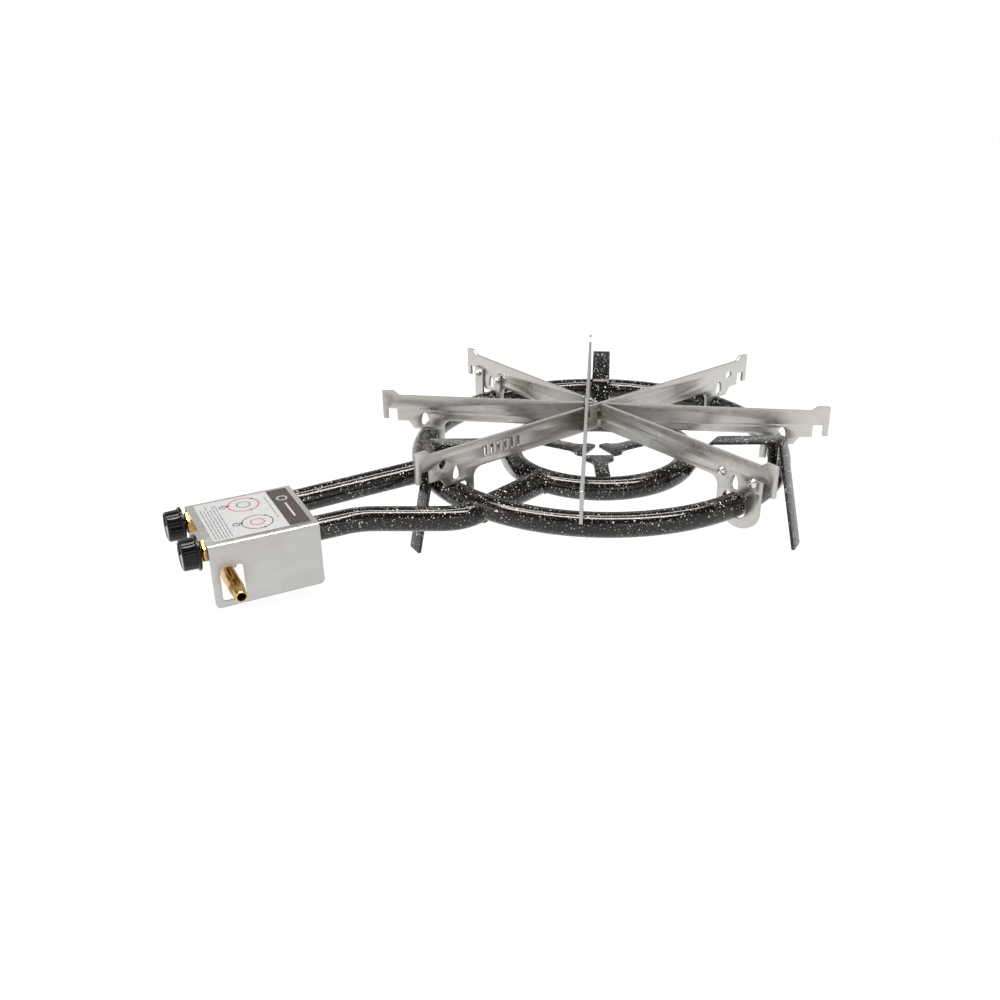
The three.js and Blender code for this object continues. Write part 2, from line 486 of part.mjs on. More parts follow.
// ================================================================= gas rail, elbow and hose nipple
const RAIL_X = BOX_X - 31.9;
{
  const zt = TAP_Z - 8.5 - GAP;
  let rail = solid(box(RAIL_X - 6, RAIL_X + 6, TAP_Y.inner - 6.5, TAP_Y.outer + 6.5, zt - 11, zt));
  rail = rail.subtract(solid(cylinderBetween([RAIL_X, TAP_Y.inner - 3, zt - 5.5], [RAIL_X, TAP_Y.outer + 20, zt - 5.5], 3, 12)))
    .subtract(solid(cylinderBetween([RAIL_X, TAP_Y.inner, zt - 5.5], [RAIL_X, TAP_Y.inner, zt + 2], 2.5, 12)))
    .subtract(solid(cylinderBetween([RAIL_X, TAP_Y.outer, zt - 5.5], [RAIL_X, TAP_Y.outer, zt + 2], 2.5, 12)))
    .subtract(solid(cylinderBetween([RAIL_X, 5, zt - 13], [RAIL_X, 5, zt - 5.5], 2.5, 12)));
  put('gas_rail', back(rail), BRASS);
  put('rail_plug', turned([[0, 0], [2.7, 0], [2.7, 5], [5.2, 5], [5.2, 8], [0, 8]],
    [RAIL_X, TAP_Y.outer + 1.8, zt - 5.5], [0, 1, 0], 12), BRASS);

  const ez1 = zt - 11 - GAP, ez0 = -41;
  let elbow = solid(box(RAIL_X - 7, RAIL_X + 7, -6.6, 12, ez0, ez1));
  elbow = elbow.subtract(solid(cylinderBetween([RAIL_X, 5, ez1 + 2], [RAIL_X, 5, -34], 2.5, 12)))
    .subtract(solid(cylinderBetween([RAIL_X, -8, -34], [RAIL_X, 5, -34], 4.2, 14)));
  put('inlet_elbow', back(elbow), BRASS);

  // hose nipple square to the side wall, collar against the elbow
  const d = [0, -1, 0];
  put('hose_nipple', turned(
    [[3.6, 0], [7.0, 0], [7.0, NIPPLE_LEN - 18], [5.4, NIPPLE_LEN - 1.5], [4.95, NIPPLE_LEN], [4.0, NIPPLE_LEN], [3.6, NIPPLE_LEN - 4], [3.6, 0]],
    [RAIL_X, -6.9, -34], d, 18), BRASS);
  const nut = extrude(hexPoints(0, 0, 17), 4.2, [circlePoints(0, 0, 7.25, 18)]);
  nut.applyMatrix4(new THREE.Matrix4().makeBasis(new THREE.Vector3(0, 0, 1), new THREE.Vector3(-1, 0, 0), new THREE.Vector3(...d)));
  nut.translate(RAIL_X, -6.9, -34);
  put('nipple_nut', nut, BRASS);
}

export default part;
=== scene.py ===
import bpy
import bmesh
import math
import random
import numpy as np
from mathutils import Vector, Matrix


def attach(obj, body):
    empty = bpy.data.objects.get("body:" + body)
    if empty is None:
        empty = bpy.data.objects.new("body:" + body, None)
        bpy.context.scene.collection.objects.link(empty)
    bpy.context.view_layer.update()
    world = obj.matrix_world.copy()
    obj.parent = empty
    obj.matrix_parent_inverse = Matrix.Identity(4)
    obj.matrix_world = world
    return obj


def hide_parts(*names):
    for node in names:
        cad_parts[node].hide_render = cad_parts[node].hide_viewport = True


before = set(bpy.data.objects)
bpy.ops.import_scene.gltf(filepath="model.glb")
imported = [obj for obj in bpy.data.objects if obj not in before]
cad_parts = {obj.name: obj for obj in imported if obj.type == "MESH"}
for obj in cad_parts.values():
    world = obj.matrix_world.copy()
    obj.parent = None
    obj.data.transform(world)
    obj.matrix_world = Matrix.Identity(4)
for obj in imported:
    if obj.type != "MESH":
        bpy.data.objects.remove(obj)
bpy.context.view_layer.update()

random.seed(11)

# ------------------------------------------------------------------ dimensions (mm, ring frame)
FLOOR = 64.5
SHIFT_X = 109.92
TUBE_R, BORE_R = 12.0, 10.4
OUTER_R, INNER_R, INNER_Z = 188.0, 93.5, -7.0
OUTER_FEED = [(-381.5, 32.4, -7.1), (-186, 35.6, -1.2)]
INNER_FEED = [(-381.5, -31.5, -5.8), (-283, -31.5, -5.8), (-198, -77, -6), (-86.6, -35.4, -7)]
LEGS = {"left": 182.5, "right": 302.5, "back": 57.5}
FINGERS = {"front": 242.5, "right": 2.5, "back": 122.5}
BARS = {"a": 324.4, "b": 280.6, "c": 237.7, "d": 191.4}
BAR_OFFSET = {"a": 0.0, "b": 0.0, "c": -13.5, "d": 0.0}
ARM_R, BAND_BOTTOM, BAND_TOP, STOP_TOP = 235.0, 23.0, 50.0, 54.6
SLOT_HALF, SLOT_SQUARE = 4.4, 2.4
LAP_1, LAP_MID, LAP_2 = 32.0, 36.5, 41.0
BAR_SLOTS = {
    "a": [(0, SLOT_HALF, "top", LAP_1), (-13.52, SLOT_SQUARE, "top", LAP_MID)],
    "b": [(0, SLOT_HALF, "top", LAP_2), (0, SLOT_HALF, "bottom", LAP_1), (-19.83, SLOT_HALF, "top", LAP_MID)],
    "c": [(-14.53, SLOT_HALF, "bottom", LAP_MID), (-0.78, SLOT_SQUARE, "bottom", LAP_MID), (12.9, SLOT_HALF, "bottom", LAP_MID)],
    "d": [(0, SLOT_HALF, "bottom", LAP_2), (18.67, SLOT_HALF, "top", LAP_MID)],
}
BOLT_R_IN, BOLT_R_OUT, BOLT_Z = 171.7, 209.6, 30.0
BAR_T, CLAMP_T, STRAP_T, STRAP_W, POST_T = 3.0, 2.5, 3.0, 20.0, 3.0
STRAP_PATH = [(105.2, -8.0), (127, 31.5), (196, 45.5), (222.2, -75)]
BOX_X, BOX_Y, BOX_L, BOX_W, BOX_H, BOX_TOP, SHEET = -377.5, -1.0, 101.0, 97.0, 62.0, 8.0, 1.5
WIN_X0, WIN_X1, WIN_Z0, WIN_Z1 = BOX_X - 43.4, BOX_X - 22, -48.0, -14.5
TAP_Y = {"outer": 32.4, "inner": -31.5}
TAP_Z = -3.2
KNOB_BACK = BOX_X - 50.5 - 5.5
KNOB_LEN = 16.0
RAIL_X = BOX_X - 31.9
NIPPLE_LEN = 67.0


def O(x, y, z):
    return Vector(((x + SHIFT_X) / 1000, y / 1000, (z + FLOOR) / 1000))


MM = Matrix.Translation((SHIFT_X / 1000, 0, FLOOR / 1000)) @ Matrix.Scale(0.001, 4)


# ------------------------------------------------------------------ node helpers
def new_mat(name):
    m = bpy.data.materials.new(name)
    m.use_nodes = True
    nt = m.node_tree
    nt.nodes.clear()
    out = nt.nodes.new("ShaderNodeOutputMaterial")
    b = nt.nodes.new("ShaderNodeBsdfPrincipled")
    nt.links.new(b.outputs["BSDF"], out.inputs["Surface"])
    return m, nt, b


def link(nt, a, b):
    nt.links.new(a, b)


def node(nt, kind, **kw):
    n = nt.nodes.new(kind)
    for k, v in kw.items():
        if k == "ins":
            for kk, vv in v.items():
                n.inputs[kk].default_value = vv
        else:
            setattr(n, k, v)
    return n


def math_node(nt, op, a, b=None, clamp=False):
    n = nt.nodes.new("ShaderNodeMath")
    n.operation = op
    n.use_clamp = clamp
    for i, v in enumerate((a, b)):
        if v is None:
            continue
        if isinstance(v, (int, float)):
            n.inputs[i].default_value = v
        else:
            nt.links.new(v, n.inputs[i])
    return n.outputs[0]


def ramp(nt, value, stops):
    r = nt.nodes.new("ShaderNodeValToRGB")
    e = r.color_ramp.elements
    while len(e) > 2:
        e.remove(e[-1])
    for i, (p, c) in enumerate(stops):
        el = e[i] if i < 2 else e.new(p)
        el.position = p
        el.color = (*c, 1) if len(c) == 3 else c
    nt.links.new(value, r.inputs[0])
    return r.outputs[0]


def mapping(nt, scale=(1, 1, 1), rot=(0, 0, 0), coord="Object"):
    t = nt.nodes.new("ShaderNodeTexCoord")
    m = nt.nodes.new("ShaderNodeMapping")
    m.inputs["Scale"].default_value = scale
    m.inputs["Rotation"].default_value = rot
    nt.links.new(t.outputs[coord], m.inputs["Vector"])
    return m.outputs[0]


def noise(nt, vec, scale, detail=3, rough=0.5, kind="Fac"):
    n = nt.nodes.new("ShaderNodeTexNoise")
    n.inputs["Scale"].default_value = scale
    n.inputs["Detail"].default_value = detail
    n.inputs["Roughness"].default_value = rough
    nt.links.new(vec, n.inputs["Vector"])
    return n.outputs[kind]


def maprange(nt, v, a, b, c, d, smooth=False):
    m = nt.nodes.new("ShaderNodeMapRange")
    if smooth:
        m.interpolation_type = "SMOOTHSTEP"
    nt.links.new(v, m.inputs[0])
    for i, x in enumerate((a, b, c, d)):
        if isinstance(x, (int, float)):
            m.inputs[i + 1].default_value = x
        else:
            nt.links.new(x, m.inputs[i + 1])
    return m.outputs[0]


def mixcol(nt, fac, a, b, kind="MIX"):
    m = nt.nodes.new("ShaderNodeMix")
    m.data_type = "RGBA"
    m.blend_type = kind
    for sock, v in ((m.inputs[0], fac), (m.inputs[6], a), (m.inputs[7], b)):
        if isinstance(v, (int, float)):
            sock.default_value = v
        elif isinstance(v, tuple):
            sock.default_value = (*v, 1)
        else:
            nt.links.new(v, sock)
    return m.outputs[2]


def bump(nt, height, strength, dist, normal=None):
    b = nt.nodes.new("ShaderNodeBump")
    b.inputs["Strength"].default_value = strength
    b.inputs["Distance"].default_value = dist
    nt.links.new(height, b.inputs["Height"])
    if normal is not None:
        nt.links.new(normal, b.inputs["Normal"])
    return b.outputs[0]


# ------------------------------------------------------------------ materials
def speckle_layer(nt, vec, scale, lo, hi, gate, seed):
    """White specks: one per 3-D cell, each with its own size, only in some of the cells."""
    off = nt.nodes.new("ShaderNodeVectorMath")
    off.operation = "ADD"
    nt.links.new(vec, off.inputs[0])
    off.inputs[1].default_value = (seed * 0.37, seed * 0.11, seed * 0.23)
    v = nt.nodes.new("ShaderNodeTexVoronoi")
    v.inputs["Scale"].default_value = scale
    v.inputs["Randomness"].default_value = 1.0
    nt.links.new(off.outputs[0], v.inputs["Vector"])
    sep = nt.nodes.new("ShaderNodeSeparateColor")
    nt.links.new(v.outputs["Color"], sep.inputs[0])
    size = math_node(nt, "POWER", sep.outputs[0], 2.2)
    thr = maprange(nt, size, 0, 1, lo, hi)
    on = math_node(nt, "LESS_THAN", sep.outputs[1], gate)
    d = math_node(nt, "SUBTRACT", thr, v.outputs["Distance"])
    m = maprange(nt, d, -0.01, 0.05, 0, 1, True)
    m = math_node(nt, "MULTIPLY", m, on, True)
    tone = maprange(nt, sep.outputs[2], 0, 1, 0.72, 1.0)
    return math_node(nt, "MULTIPLY", m, tone, True)


def enamel_material(name, amount=1.0):
    m, nt, b = new_mat(name)
    vec = mapping(nt)
    wob = noise(nt, vec, 700, 2, 0.6, "Color")
    sub = node(nt, "ShaderNodeVectorMath", operation="SUBTRACT")
    link(nt, wob, sub.inputs[0])
    sub.inputs[1].default_value = (0.5, 0.5, 0.5)
    scl = node(nt, "ShaderNodeVectorMath", operation="SCALE")
    link(nt, sub.outputs[0], scl.inputs[0])
    scl.inputs[3].default_value = 0.0016
    add = node(nt, "ShaderNodeVectorMath", operation="ADD")
    link(nt, vec, add.inputs[0])
    link(nt, scl.outputs[0], add.inputs[1])
    v = add.outputs[0]
    big = speckle_layer(nt, v, 400, 0.10, 0.44, 0.20 * amount, 1)
    mid = speckle_layer(nt, v, 640, 0.10, 0.46, 0.29 * amount, 2)
    fine = speckle_layer(nt, v, 1050, 0.14, 0.46, 0.15 * amount, 3)
    dust = speckle_layer(nt, v, 1900, 0.10, 0.42, 0.12 * amount, 4)
    clump = noise(nt, vec, 60, 3, 0.6)
    clump = maprange(nt, clump, 0.36, 0.56, 0.55, 1.0, True)
    s = math_node(nt, "MAXIMUM", big, mid)
    s = math_node(nt, "MAXIMUM", s, math_node(nt, "MULTIPLY", fine, 0.85))
    s = math_node(nt, "MULTIPLY", s, clump, True)
    s = math_node(nt, "MAXIMUM", s, math_node(nt, "MULTIPLY", dust, 0.35))
    tint = noise(nt, vec, 35, 2, 0.5)
    dark = ramp(nt, tint, [(0.3, (0.0026, 0.0022, 0.0019)), (0.7, (0.0050, 0.0042, 0.0036))])
    col = mixcol(nt, s, dark, (0.58, 0.57, 0.54))
    link(nt, col, b.inputs["Base Color"])
    r = noise(nt, vec, 420, 3, 0.6)
    r = maprange(nt, r, 0.3, 0.7, 0.10, 0.17)
    r = math_node(nt, "ADD", r, math_node(nt, "MULTIPLY", s, 0.12), True)
    link(nt, r, b.inputs["Roughness"])
    peel = noise(nt, vec, 210, 2, 0.5)
    n1 = bump(nt, peel, 0.10, 0.0006)
    n2 = bump(nt, s, 0.22, 0.00008, n1)
    link(nt, n2, b.inputs["Normal"])
    b.inputs["IOR"].default_value = 1.44
    b.inputs["Specular Tint"].default_value = (1.0, 0.95, 0.91, 1.0)
    b.inputs["Coat Weight"].default_value = 0.10
    b.inputs["Coat Roughness"].default_value = 0.06
    return m


def steel_material(name, base=(0.54, 0.53, 0.51), rough=(0.26, 0.40), grain=(1, 1, 1), rot=(0, 0, 0),
                   grain_scale=900, bump_s=0.10, tint=0.06, metallic=1.0):
    """Satin stainless: long fine scratches in one direction, faint stains and smudges."""
    m, nt, b = new_mat(name)
    rvec = mapping(nt, grain, rot)
    vec = mapping(nt)
    g = noise(nt, rvec, grain_scale, 4, 0.65)
    g2 = noise(nt, rvec, grain_scale * 0.28, 3, 0.6)
    smudge = noise(nt, vec, 16, 4, 0.55)
    fine = noise(nt, vec, 90, 4, 0.6)
    lo = tuple(c * (1 - tint) for c in base)
    hi = tuple(min(1, c * (1 + tint)) for c in base)
    col = ramp(nt, g, [(0.30, lo), (0.72, hi)])
    warm = ramp(nt, smudge, [(0.35, (0.94, 0.90, 0.86)), (0.62, (1.0, 1.0, 1.0))])
    col = mixcol(nt, 1.0, col, warm, "MULTIPLY")
    link(nt, col, b.inputs["Base Color"])
    r = maprange(nt, g2, 0.3, 0.7, rough[0], rough[1])
    r = math_node(nt, "ADD", r, maprange(nt, fine, 0.35, 0.7, -0.03, 0.05))
    r = math_node(nt, "ADD", r, maprange(nt, smudge, 0.3, 0.7, -0.03, 0.05), True)
    link(nt, r, b.inputs["Roughness"])
    n = bump(nt, g, bump_s, 0.00006)
    link(nt, n, b.inputs["Normal"])
    b.inputs["Metallic"].default_value = metallic
    return m


def cut_edge_material(name):
    """Laser-cut edge: bright, with fine lines across the thickness."""
    m, nt, b = new_mat(name)
    vec = mapping(nt, (1, 1, 0.25))
    g = noise(nt, vec, 1800, 3, 0.6)
    col = ramp(nt, g, [(0.3, (0.36, 0.36, 0.35)), (0.7, (0.50, 0.50, 0.49))])
    link(nt, col, b.inputs["Base Color"])
    link(nt, maprange(nt, g, 0.3, 0.7, 0.32, 0.50), b.inputs["Roughness"])
    link(nt, bump(nt, g, 0.25, 0.00006), b.inputs["Normal"])
    b.inputs["Metallic"].default_value = 1.0
    return m


def brass_material(name, base=(0.62, 0.40, 0.15), rough=(0.16, 0.30), turned=False):
    m, nt, b = new_mat(name)
    vec = mapping(nt)
    g = noise(nt, mapping(nt, (1, 14, 1) if turned else (1, 1, 1)), 700, 4, 0.6)
    stain = noise(nt, vec, 120, 4, 0.6)
    lo = tuple(c * 0.72 for c in base)
    hi = tuple(min(1, c * 1.18) for c in base)
    col = ramp(nt, stain, [(0.32, lo), (0.66, hi)])
    link(nt, col, b.inputs["Base Color"])
    r = maprange(nt, g, 0.3, 0.7, rough[0], rough[1])
    link(nt, r, b.inputs["Roughness"])
    link(nt, bump(nt, g, 0.16, 0.00008), b.inputs["Normal"])
    b.inputs["Metallic"].default_value = 1.0
    return m


def plastic_material(name):
    m, nt, b = new_mat(name)
    vec = mapping(nt)
    g = noise(nt, vec, 1400, 3, 0.6)
    s = noise(nt, vec, 60, 3, 0.5)
    link(nt, ramp(nt, s, [(0.3, (0.0022, 0.0022, 0.0021)), (0.7, (0.0042, 0.0041, 0.0039))]), b.inputs["Base Color"])
    link(nt, maprange(nt, s, 0.3, 0.7, 0.09, 0.18), b.inputs["Roughness"])
    link(nt, bump(nt, g, 0.08, 0.00005), b.inputs["Normal"])
    b.inputs["IOR"].default_value = 1.5
    b.inputs["Specular IOR Level"].default_value = 0.26
    return m


def print_material(name, color, spread=0.06, rough=(0.34, 0.46)):
    m, nt, b = new_mat(name)
    vec = mapping(nt)
    g = noise(nt, vec, 900, 3, 0.6)
    s = noise(nt, vec, 70, 3, 0.5)
    lo = tuple(c * (1 - spread) for c in color)
    hi = tuple(min(1, c * (1 + spread)) for c in color)
    link(nt, ramp(nt, s, [(0.3, lo), (0.7, hi)]), b.inputs["Base Color"])
    link(nt, maprange(nt, g, 0.3, 0.7, rough[0], rough[1]), b.inputs["Roughness"])
    link(nt, bump(nt, g, 0.06, 0.00004), b.inputs["Normal"])
    return m


ENAMEL = enamel_material("speckled_enamel", 1.0)
ENAMEL_STRAP = enamel_material("speckled_enamel_strap", 1.25)
PLATE = {}
for _k, _a in BARS.items():
    PLATE[_k] = steel_material("stainless_bar_" + _k, grain=(0.05, 1, 1), rot=(0, 0, math.radians(-_a)))
CLAMP_STEEL = steel_material("stainless_clamp", base=(0.52, 0.51, 0.49), grain=(1, 1, 0.06))
EDGE = cut_edge_material("stainless_cut_edge")
COVER = steel_material("stainless_cover", base=(0.47, 0.47, 0.46), rough=(0.34, 0.46), grain=(0.04, 1, 1), bump_s=0.06, tint=0.035)
BOLT = steel_material("bolt_steel", base=(0.66, 0.655, 0.65), rough=(0.12, 0.22), grain=(1, 1, 1), grain_scale=600, bump_s=0.04)
ZINC = steel_material("zinc_steel", base=(0.60, 0.60, 0.57), rough=(0.25, 0.42), grain=(1, 1, 1), grain_scale=300, bump_s=0.10, tint=0.12)
BRASS = brass_material("brass")
BRASS_TURNED = brass_material("brass_turned", base=(0.66, 0.43, 0.17), turned=True)
PLASTIC = plastic_material("black_plastic")
FILM = print_material("label_film", (0.30, 0.30, 0.295), 0.03)
INK_DARK = print_material("label_ink_dark", (0.027, 0.017, 0.016), 0.15)
INK_BLACK = print_material("label_ink_black", (0.010, 0.010, 0.010), 0.2)
INK_RED = print_material("label_ink_red", (0.34, 0.035, 0.040), 0.1)
INK_GREY = print_material("label_ink_grey", (0.075, 0.075, 0.073), 0.1)
MARK = print_material("knob_mark_white", (0.50, 0.50, 0.49), 0.05)


# ------------------------------------------------------------------ mesh helpers
COUNT = []


def add_mesh(name, verts, faces, mats, smooth_angle=35, face_mats=None, space=MM):
    me = bpy.data.meshes.new(name)
    me.from_pydata([tuple(v) for v in verts], [], faces)
    me.transform(space)
    me.update()
    o = bpy.data.objects.new(name, me)
    bpy.context.scene.collection.objects.link(o)
    for m in (mats if isinstance(mats, (list, tuple)) else [mats]):
        me.materials.append(m)
    if face_mats is not None:
        me.polygons.foreach_set("material_index", face_mats)
    finish_mesh(o, smooth_angle)
    return o


def finish_mesh(o, angle=35):
    me = o.data
    bm = bmesh.new()
    bm.from_mesh(me)
    bmesh.ops.remove_doubles(bm, verts=bm.verts, dist=1e-7)
    bmesh.ops.recalc_face_normals(bm, faces=bm.faces)
    bm.to_mesh(me)
    bm.free()
    me.shade_smooth()
    me.set_sharp_from_angle(angle=math.radians(angle))


def apply_mods(o):
    dg = bpy.context.evaluated_depsgraph_get()
    me = bpy.data.meshes.new_from_object(o.evaluated_get(dg))
    o.modifiers.clear()
    old = o.data
    o.data = me
    me.name = o.name
    if old.users == 0 and isinstance(old, bpy.types.Mesh):
        bpy.data.meshes.remove(old)


def piece(o, body="burner", nodes=()):
    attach(o, body)
    if nodes:
        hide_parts(*nodes)
    COUNT.append(o.name)
    return o


def refined(node_name, mat, width=0.3, segments=2, angle=30, body="burner"):
    """A detailed copy of a machined or pressed piece: same surfaces, with broken edges."""
    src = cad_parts[node_name]
    me = src.data.copy()
    o = bpy.data.objects.new(node_name + "_detail", me)
    bpy.context.scene.collection.objects.link(o)
    bm = bmesh.new()
    bm.from_mesh(me)
    bmesh.ops.remove_doubles(bm, verts=bm.verts, dist=1e-6)
    bmesh.ops.dissolve_limit(bm, angle_limit=math.radians(1.0), verts=bm.verts, edges=bm.edges)
    bmesh.ops.recalc_face_normals(bm, faces=bm.faces)
    bm.to_mesh(me)
    bm.free()
    me.materials.clear()
    me.materials.append(mat)
    mod = o.modifiers.new("edge", "BEVEL")
    mod.width = width / 1000
    mod.segments = segments
    mod.limit_method = "ANGLE"
    mod.angle_limit = math.radians(angle)
    mod.harden_normals = False
    mod.use_clamp_overlap = True
    apply_mods(o)
    o.data.shade_smooth()
    o.data.set_sharp_from_angle(angle=math.radians(38))
    return piece(o, body, [node_name])


def plate(name, outline, thickness, matrix, mats, holes=(), bevel=0.25, res=1, smooth_angle=40):
    """Flat plate from an outline with holes, edges broken. Outline x -> local x, y -> local y, thickness centred on local z.
    matrix takes local mm to ring-frame mm. Material 0 is the faces, material 1 the cut edges."""
    cu = bpy.data.curves.new(name + "_c", "CURVE")
    cu.dimensions = "2D"
    cu.fill_mode = "BOTH"
    cu.extrude = thickness / 2 - bevel
    cu.bevel_depth = bevel
    cu.bevel_resolution = res
    cu.offset = -bevel
    for loop in [outline, *holes]:
        sp = cu.splines.new("POLY")
        sp.points.add(len(loop) - 1)
        for i, (x, y) in enumerate(loop):
            sp.points[i].co = (x, y, 0, 1)
        sp.use_cyclic_u = True
    co = bpy.data.objects.new(name + "_c", cu)
    bpy.context.scene.collection.objects.link(co)
    dg = bpy.context.evaluated_depsgraph_get()
    me = bpy.data.meshes.new_from_object(co.evaluated_get(dg))
    bpy.data.objects.remove(co)
    me.name = name
    me.materials.clear()
    mats = mats if isinstance(mats, (list, tuple)) else [mats]
    for m in mats:
        me.materials.append(m)
    if len(mats) > 1:
        for p in me.polygons:
            p.material_index = 0 if abs(p.normal.z) > 0.8 else 1
    else:
        for p in me.polygons:
            p.material_index = 0
    me.transform(MM @ matrix)
    o = bpy.data.objects.new(name, me)
    bpy.context.scene.collection.objects.link(o)
    finish_mesh(o, smooth_angle)
    return o


def radial_matrix(angle_deg, tangent_mid=0.0):
    """Local x -> outwards, local y -> up, local z -> minus the tangent, middle of the plate at tangent_mid."""
    a = math.radians(angle_deg)
    r = Vector((math.cos(a), math.sin(a), 0))
    t = Vector((-math.sin(a), math.cos(a), 0))
    m = Matrix(((r.x, 0, -t.x, t.x * tangent_mid), (r.y, 0, -t.y, t.y * tangent_mid), (0, 1, 0, 0), (0, 0, 0, 1)))
    return m


def arc(cx, cy, r, a0, a1, n):
    return [(cx + r * math.cos(math.radians(a0 + (a1 - a0) * i / n)), cy + r * math.sin(math.radians(a0 + (a1 - a0) * i / n))) for i in range(n + 1)]


def circle(cx, cy, r, n=28):
    return [(cx + r * math.cos(2 * math.pi * i / n), cy + r * math.sin(2 * math.pi * i / n)) for i in range(n)]


def frames_along(points):
    P = [Vector(p) for p in points]
    T = []
    for i in range(len(P)):
        a, b = P[max(i - 1, 0)], P[min(i + 1, len(P) - 1)]
        T.append((b - a).normalized())
    n = Vector((0, 0, 1)) - T[0] * T[0].z
    if n.length < 0.1:
        n = Vector((1, 0, 0)) - T[0] * T[0].x
    n.normalize()
    N = [n]
    for i in range(1, len(P)):
        n = N[-1] - T[i] * N[-1].dot(T[i])
        N.append(n.normalized())
    return P, T, N


def tube_mesh(points, radius, segs=32, inner=0.0, closed=False, radius_fn=None):
    """Vertices and faces of a round tube along points; an open tube gets flat or annular ends."""
    P, T, N = frames_along(points)
    V, F = [], []
    n = len(P)
    for i in range(n):
        B = T[i].cross(N[i])
        r = radius_fn(i) if radius_fn else radius
        for k in range(segs):
            a = 2 * math.pi * k / segs
            V.append(P[i] + (N[i] * math.cos(a) + B * math.sin(a)) * r)
    for i in range(n - 1 + (1 if closed else 0)):
        j = (i + 1) % n
        for k in range(segs):
            l = (k + 1) % segs
            F.append((i * segs + k, i * segs + l, j * segs + l, j * segs + k))
    if closed:
        return V, F
    if inner <= 0:
        F.append(tuple(range(segs - 1, -1, -1)))
        F.append(tuple((n - 1) * segs + k for k in range(segs)))
        return V, F
    base = len(V)
    for i in range(n):
        B = T[i].cross(N[i])
        for k in range(segs):
            a = 2 * math.pi * k / segs
            V.append(P[i] + (N[i] * math.cos(a) + B * math.sin(a)) * inner)
    for i in range(n - 1):
        for k in range(segs):
            l = (k + 1) % segs
            F.append((base + i * segs + k, base + (i + 1) * segs + k, base + (i + 1) * segs + l, base + i * segs + l))
    for i, flip in ((0, False), (n - 1, True)):
        for k in range(segs):
            l = (k + 1) % segs
            f = (i * segs + k, base + i * segs + k, base + i * segs + l, i * segs + l)
            F.append(f if not flip else tuple(reversed(f)))
    return V, F


def lathe(profile, start, direction, segs=48, radial=None):
    """Closed revolve. profile: (radius, length) pairs; radial(angle, index) may scale a radius."""
    d = Vector(direction).normalized()
    n = Vector((0, 0, 1)) - d * d.z
    if n.length < 0.1:
        n = Vector((1, 0, 0)) - d * d.x
    n.normalize()
    b = d.cross(n)
    V, F, rows = [], [], []
    for idx, (r, h) in enumerate(profile):
        if r < 1e-6:
            rows.append([len(V)])
            V.append(Vector(start) + d * h)
            continue
        row = []
        for k in range(segs):
            a = 2 * math.pi * k / segs
            rr = r * (radial(a, idx) if radial else 1.0)
            row.append(len(V))
            V.append(Vector(start) + d * h + (n * math.cos(a) + b * math.sin(a)) * rr)
        rows.append(row)
    for i in range(len(rows) - 1):
        A, B = rows[i], rows[i + 1]
        if len(A) == 1 and len(B) == 1:
            continue
        for k in range(segs):
            l = (k + 1) % segs
            if len(A) == 1:
                F.append((A[0], B[k], B[l]))
            elif len(B) == 1:
                F.append((A[k], B[0], A[l]))
            else:
                F.append((A[k], B[k], B[l], A[l]))
    return V, F


def join_parts(parts):
    V, F = [], []
    for v, f in parts:
        o = len(V)
        V += list(v)
        F += [tuple(i + o for i in t) for t in f]
    return V, F


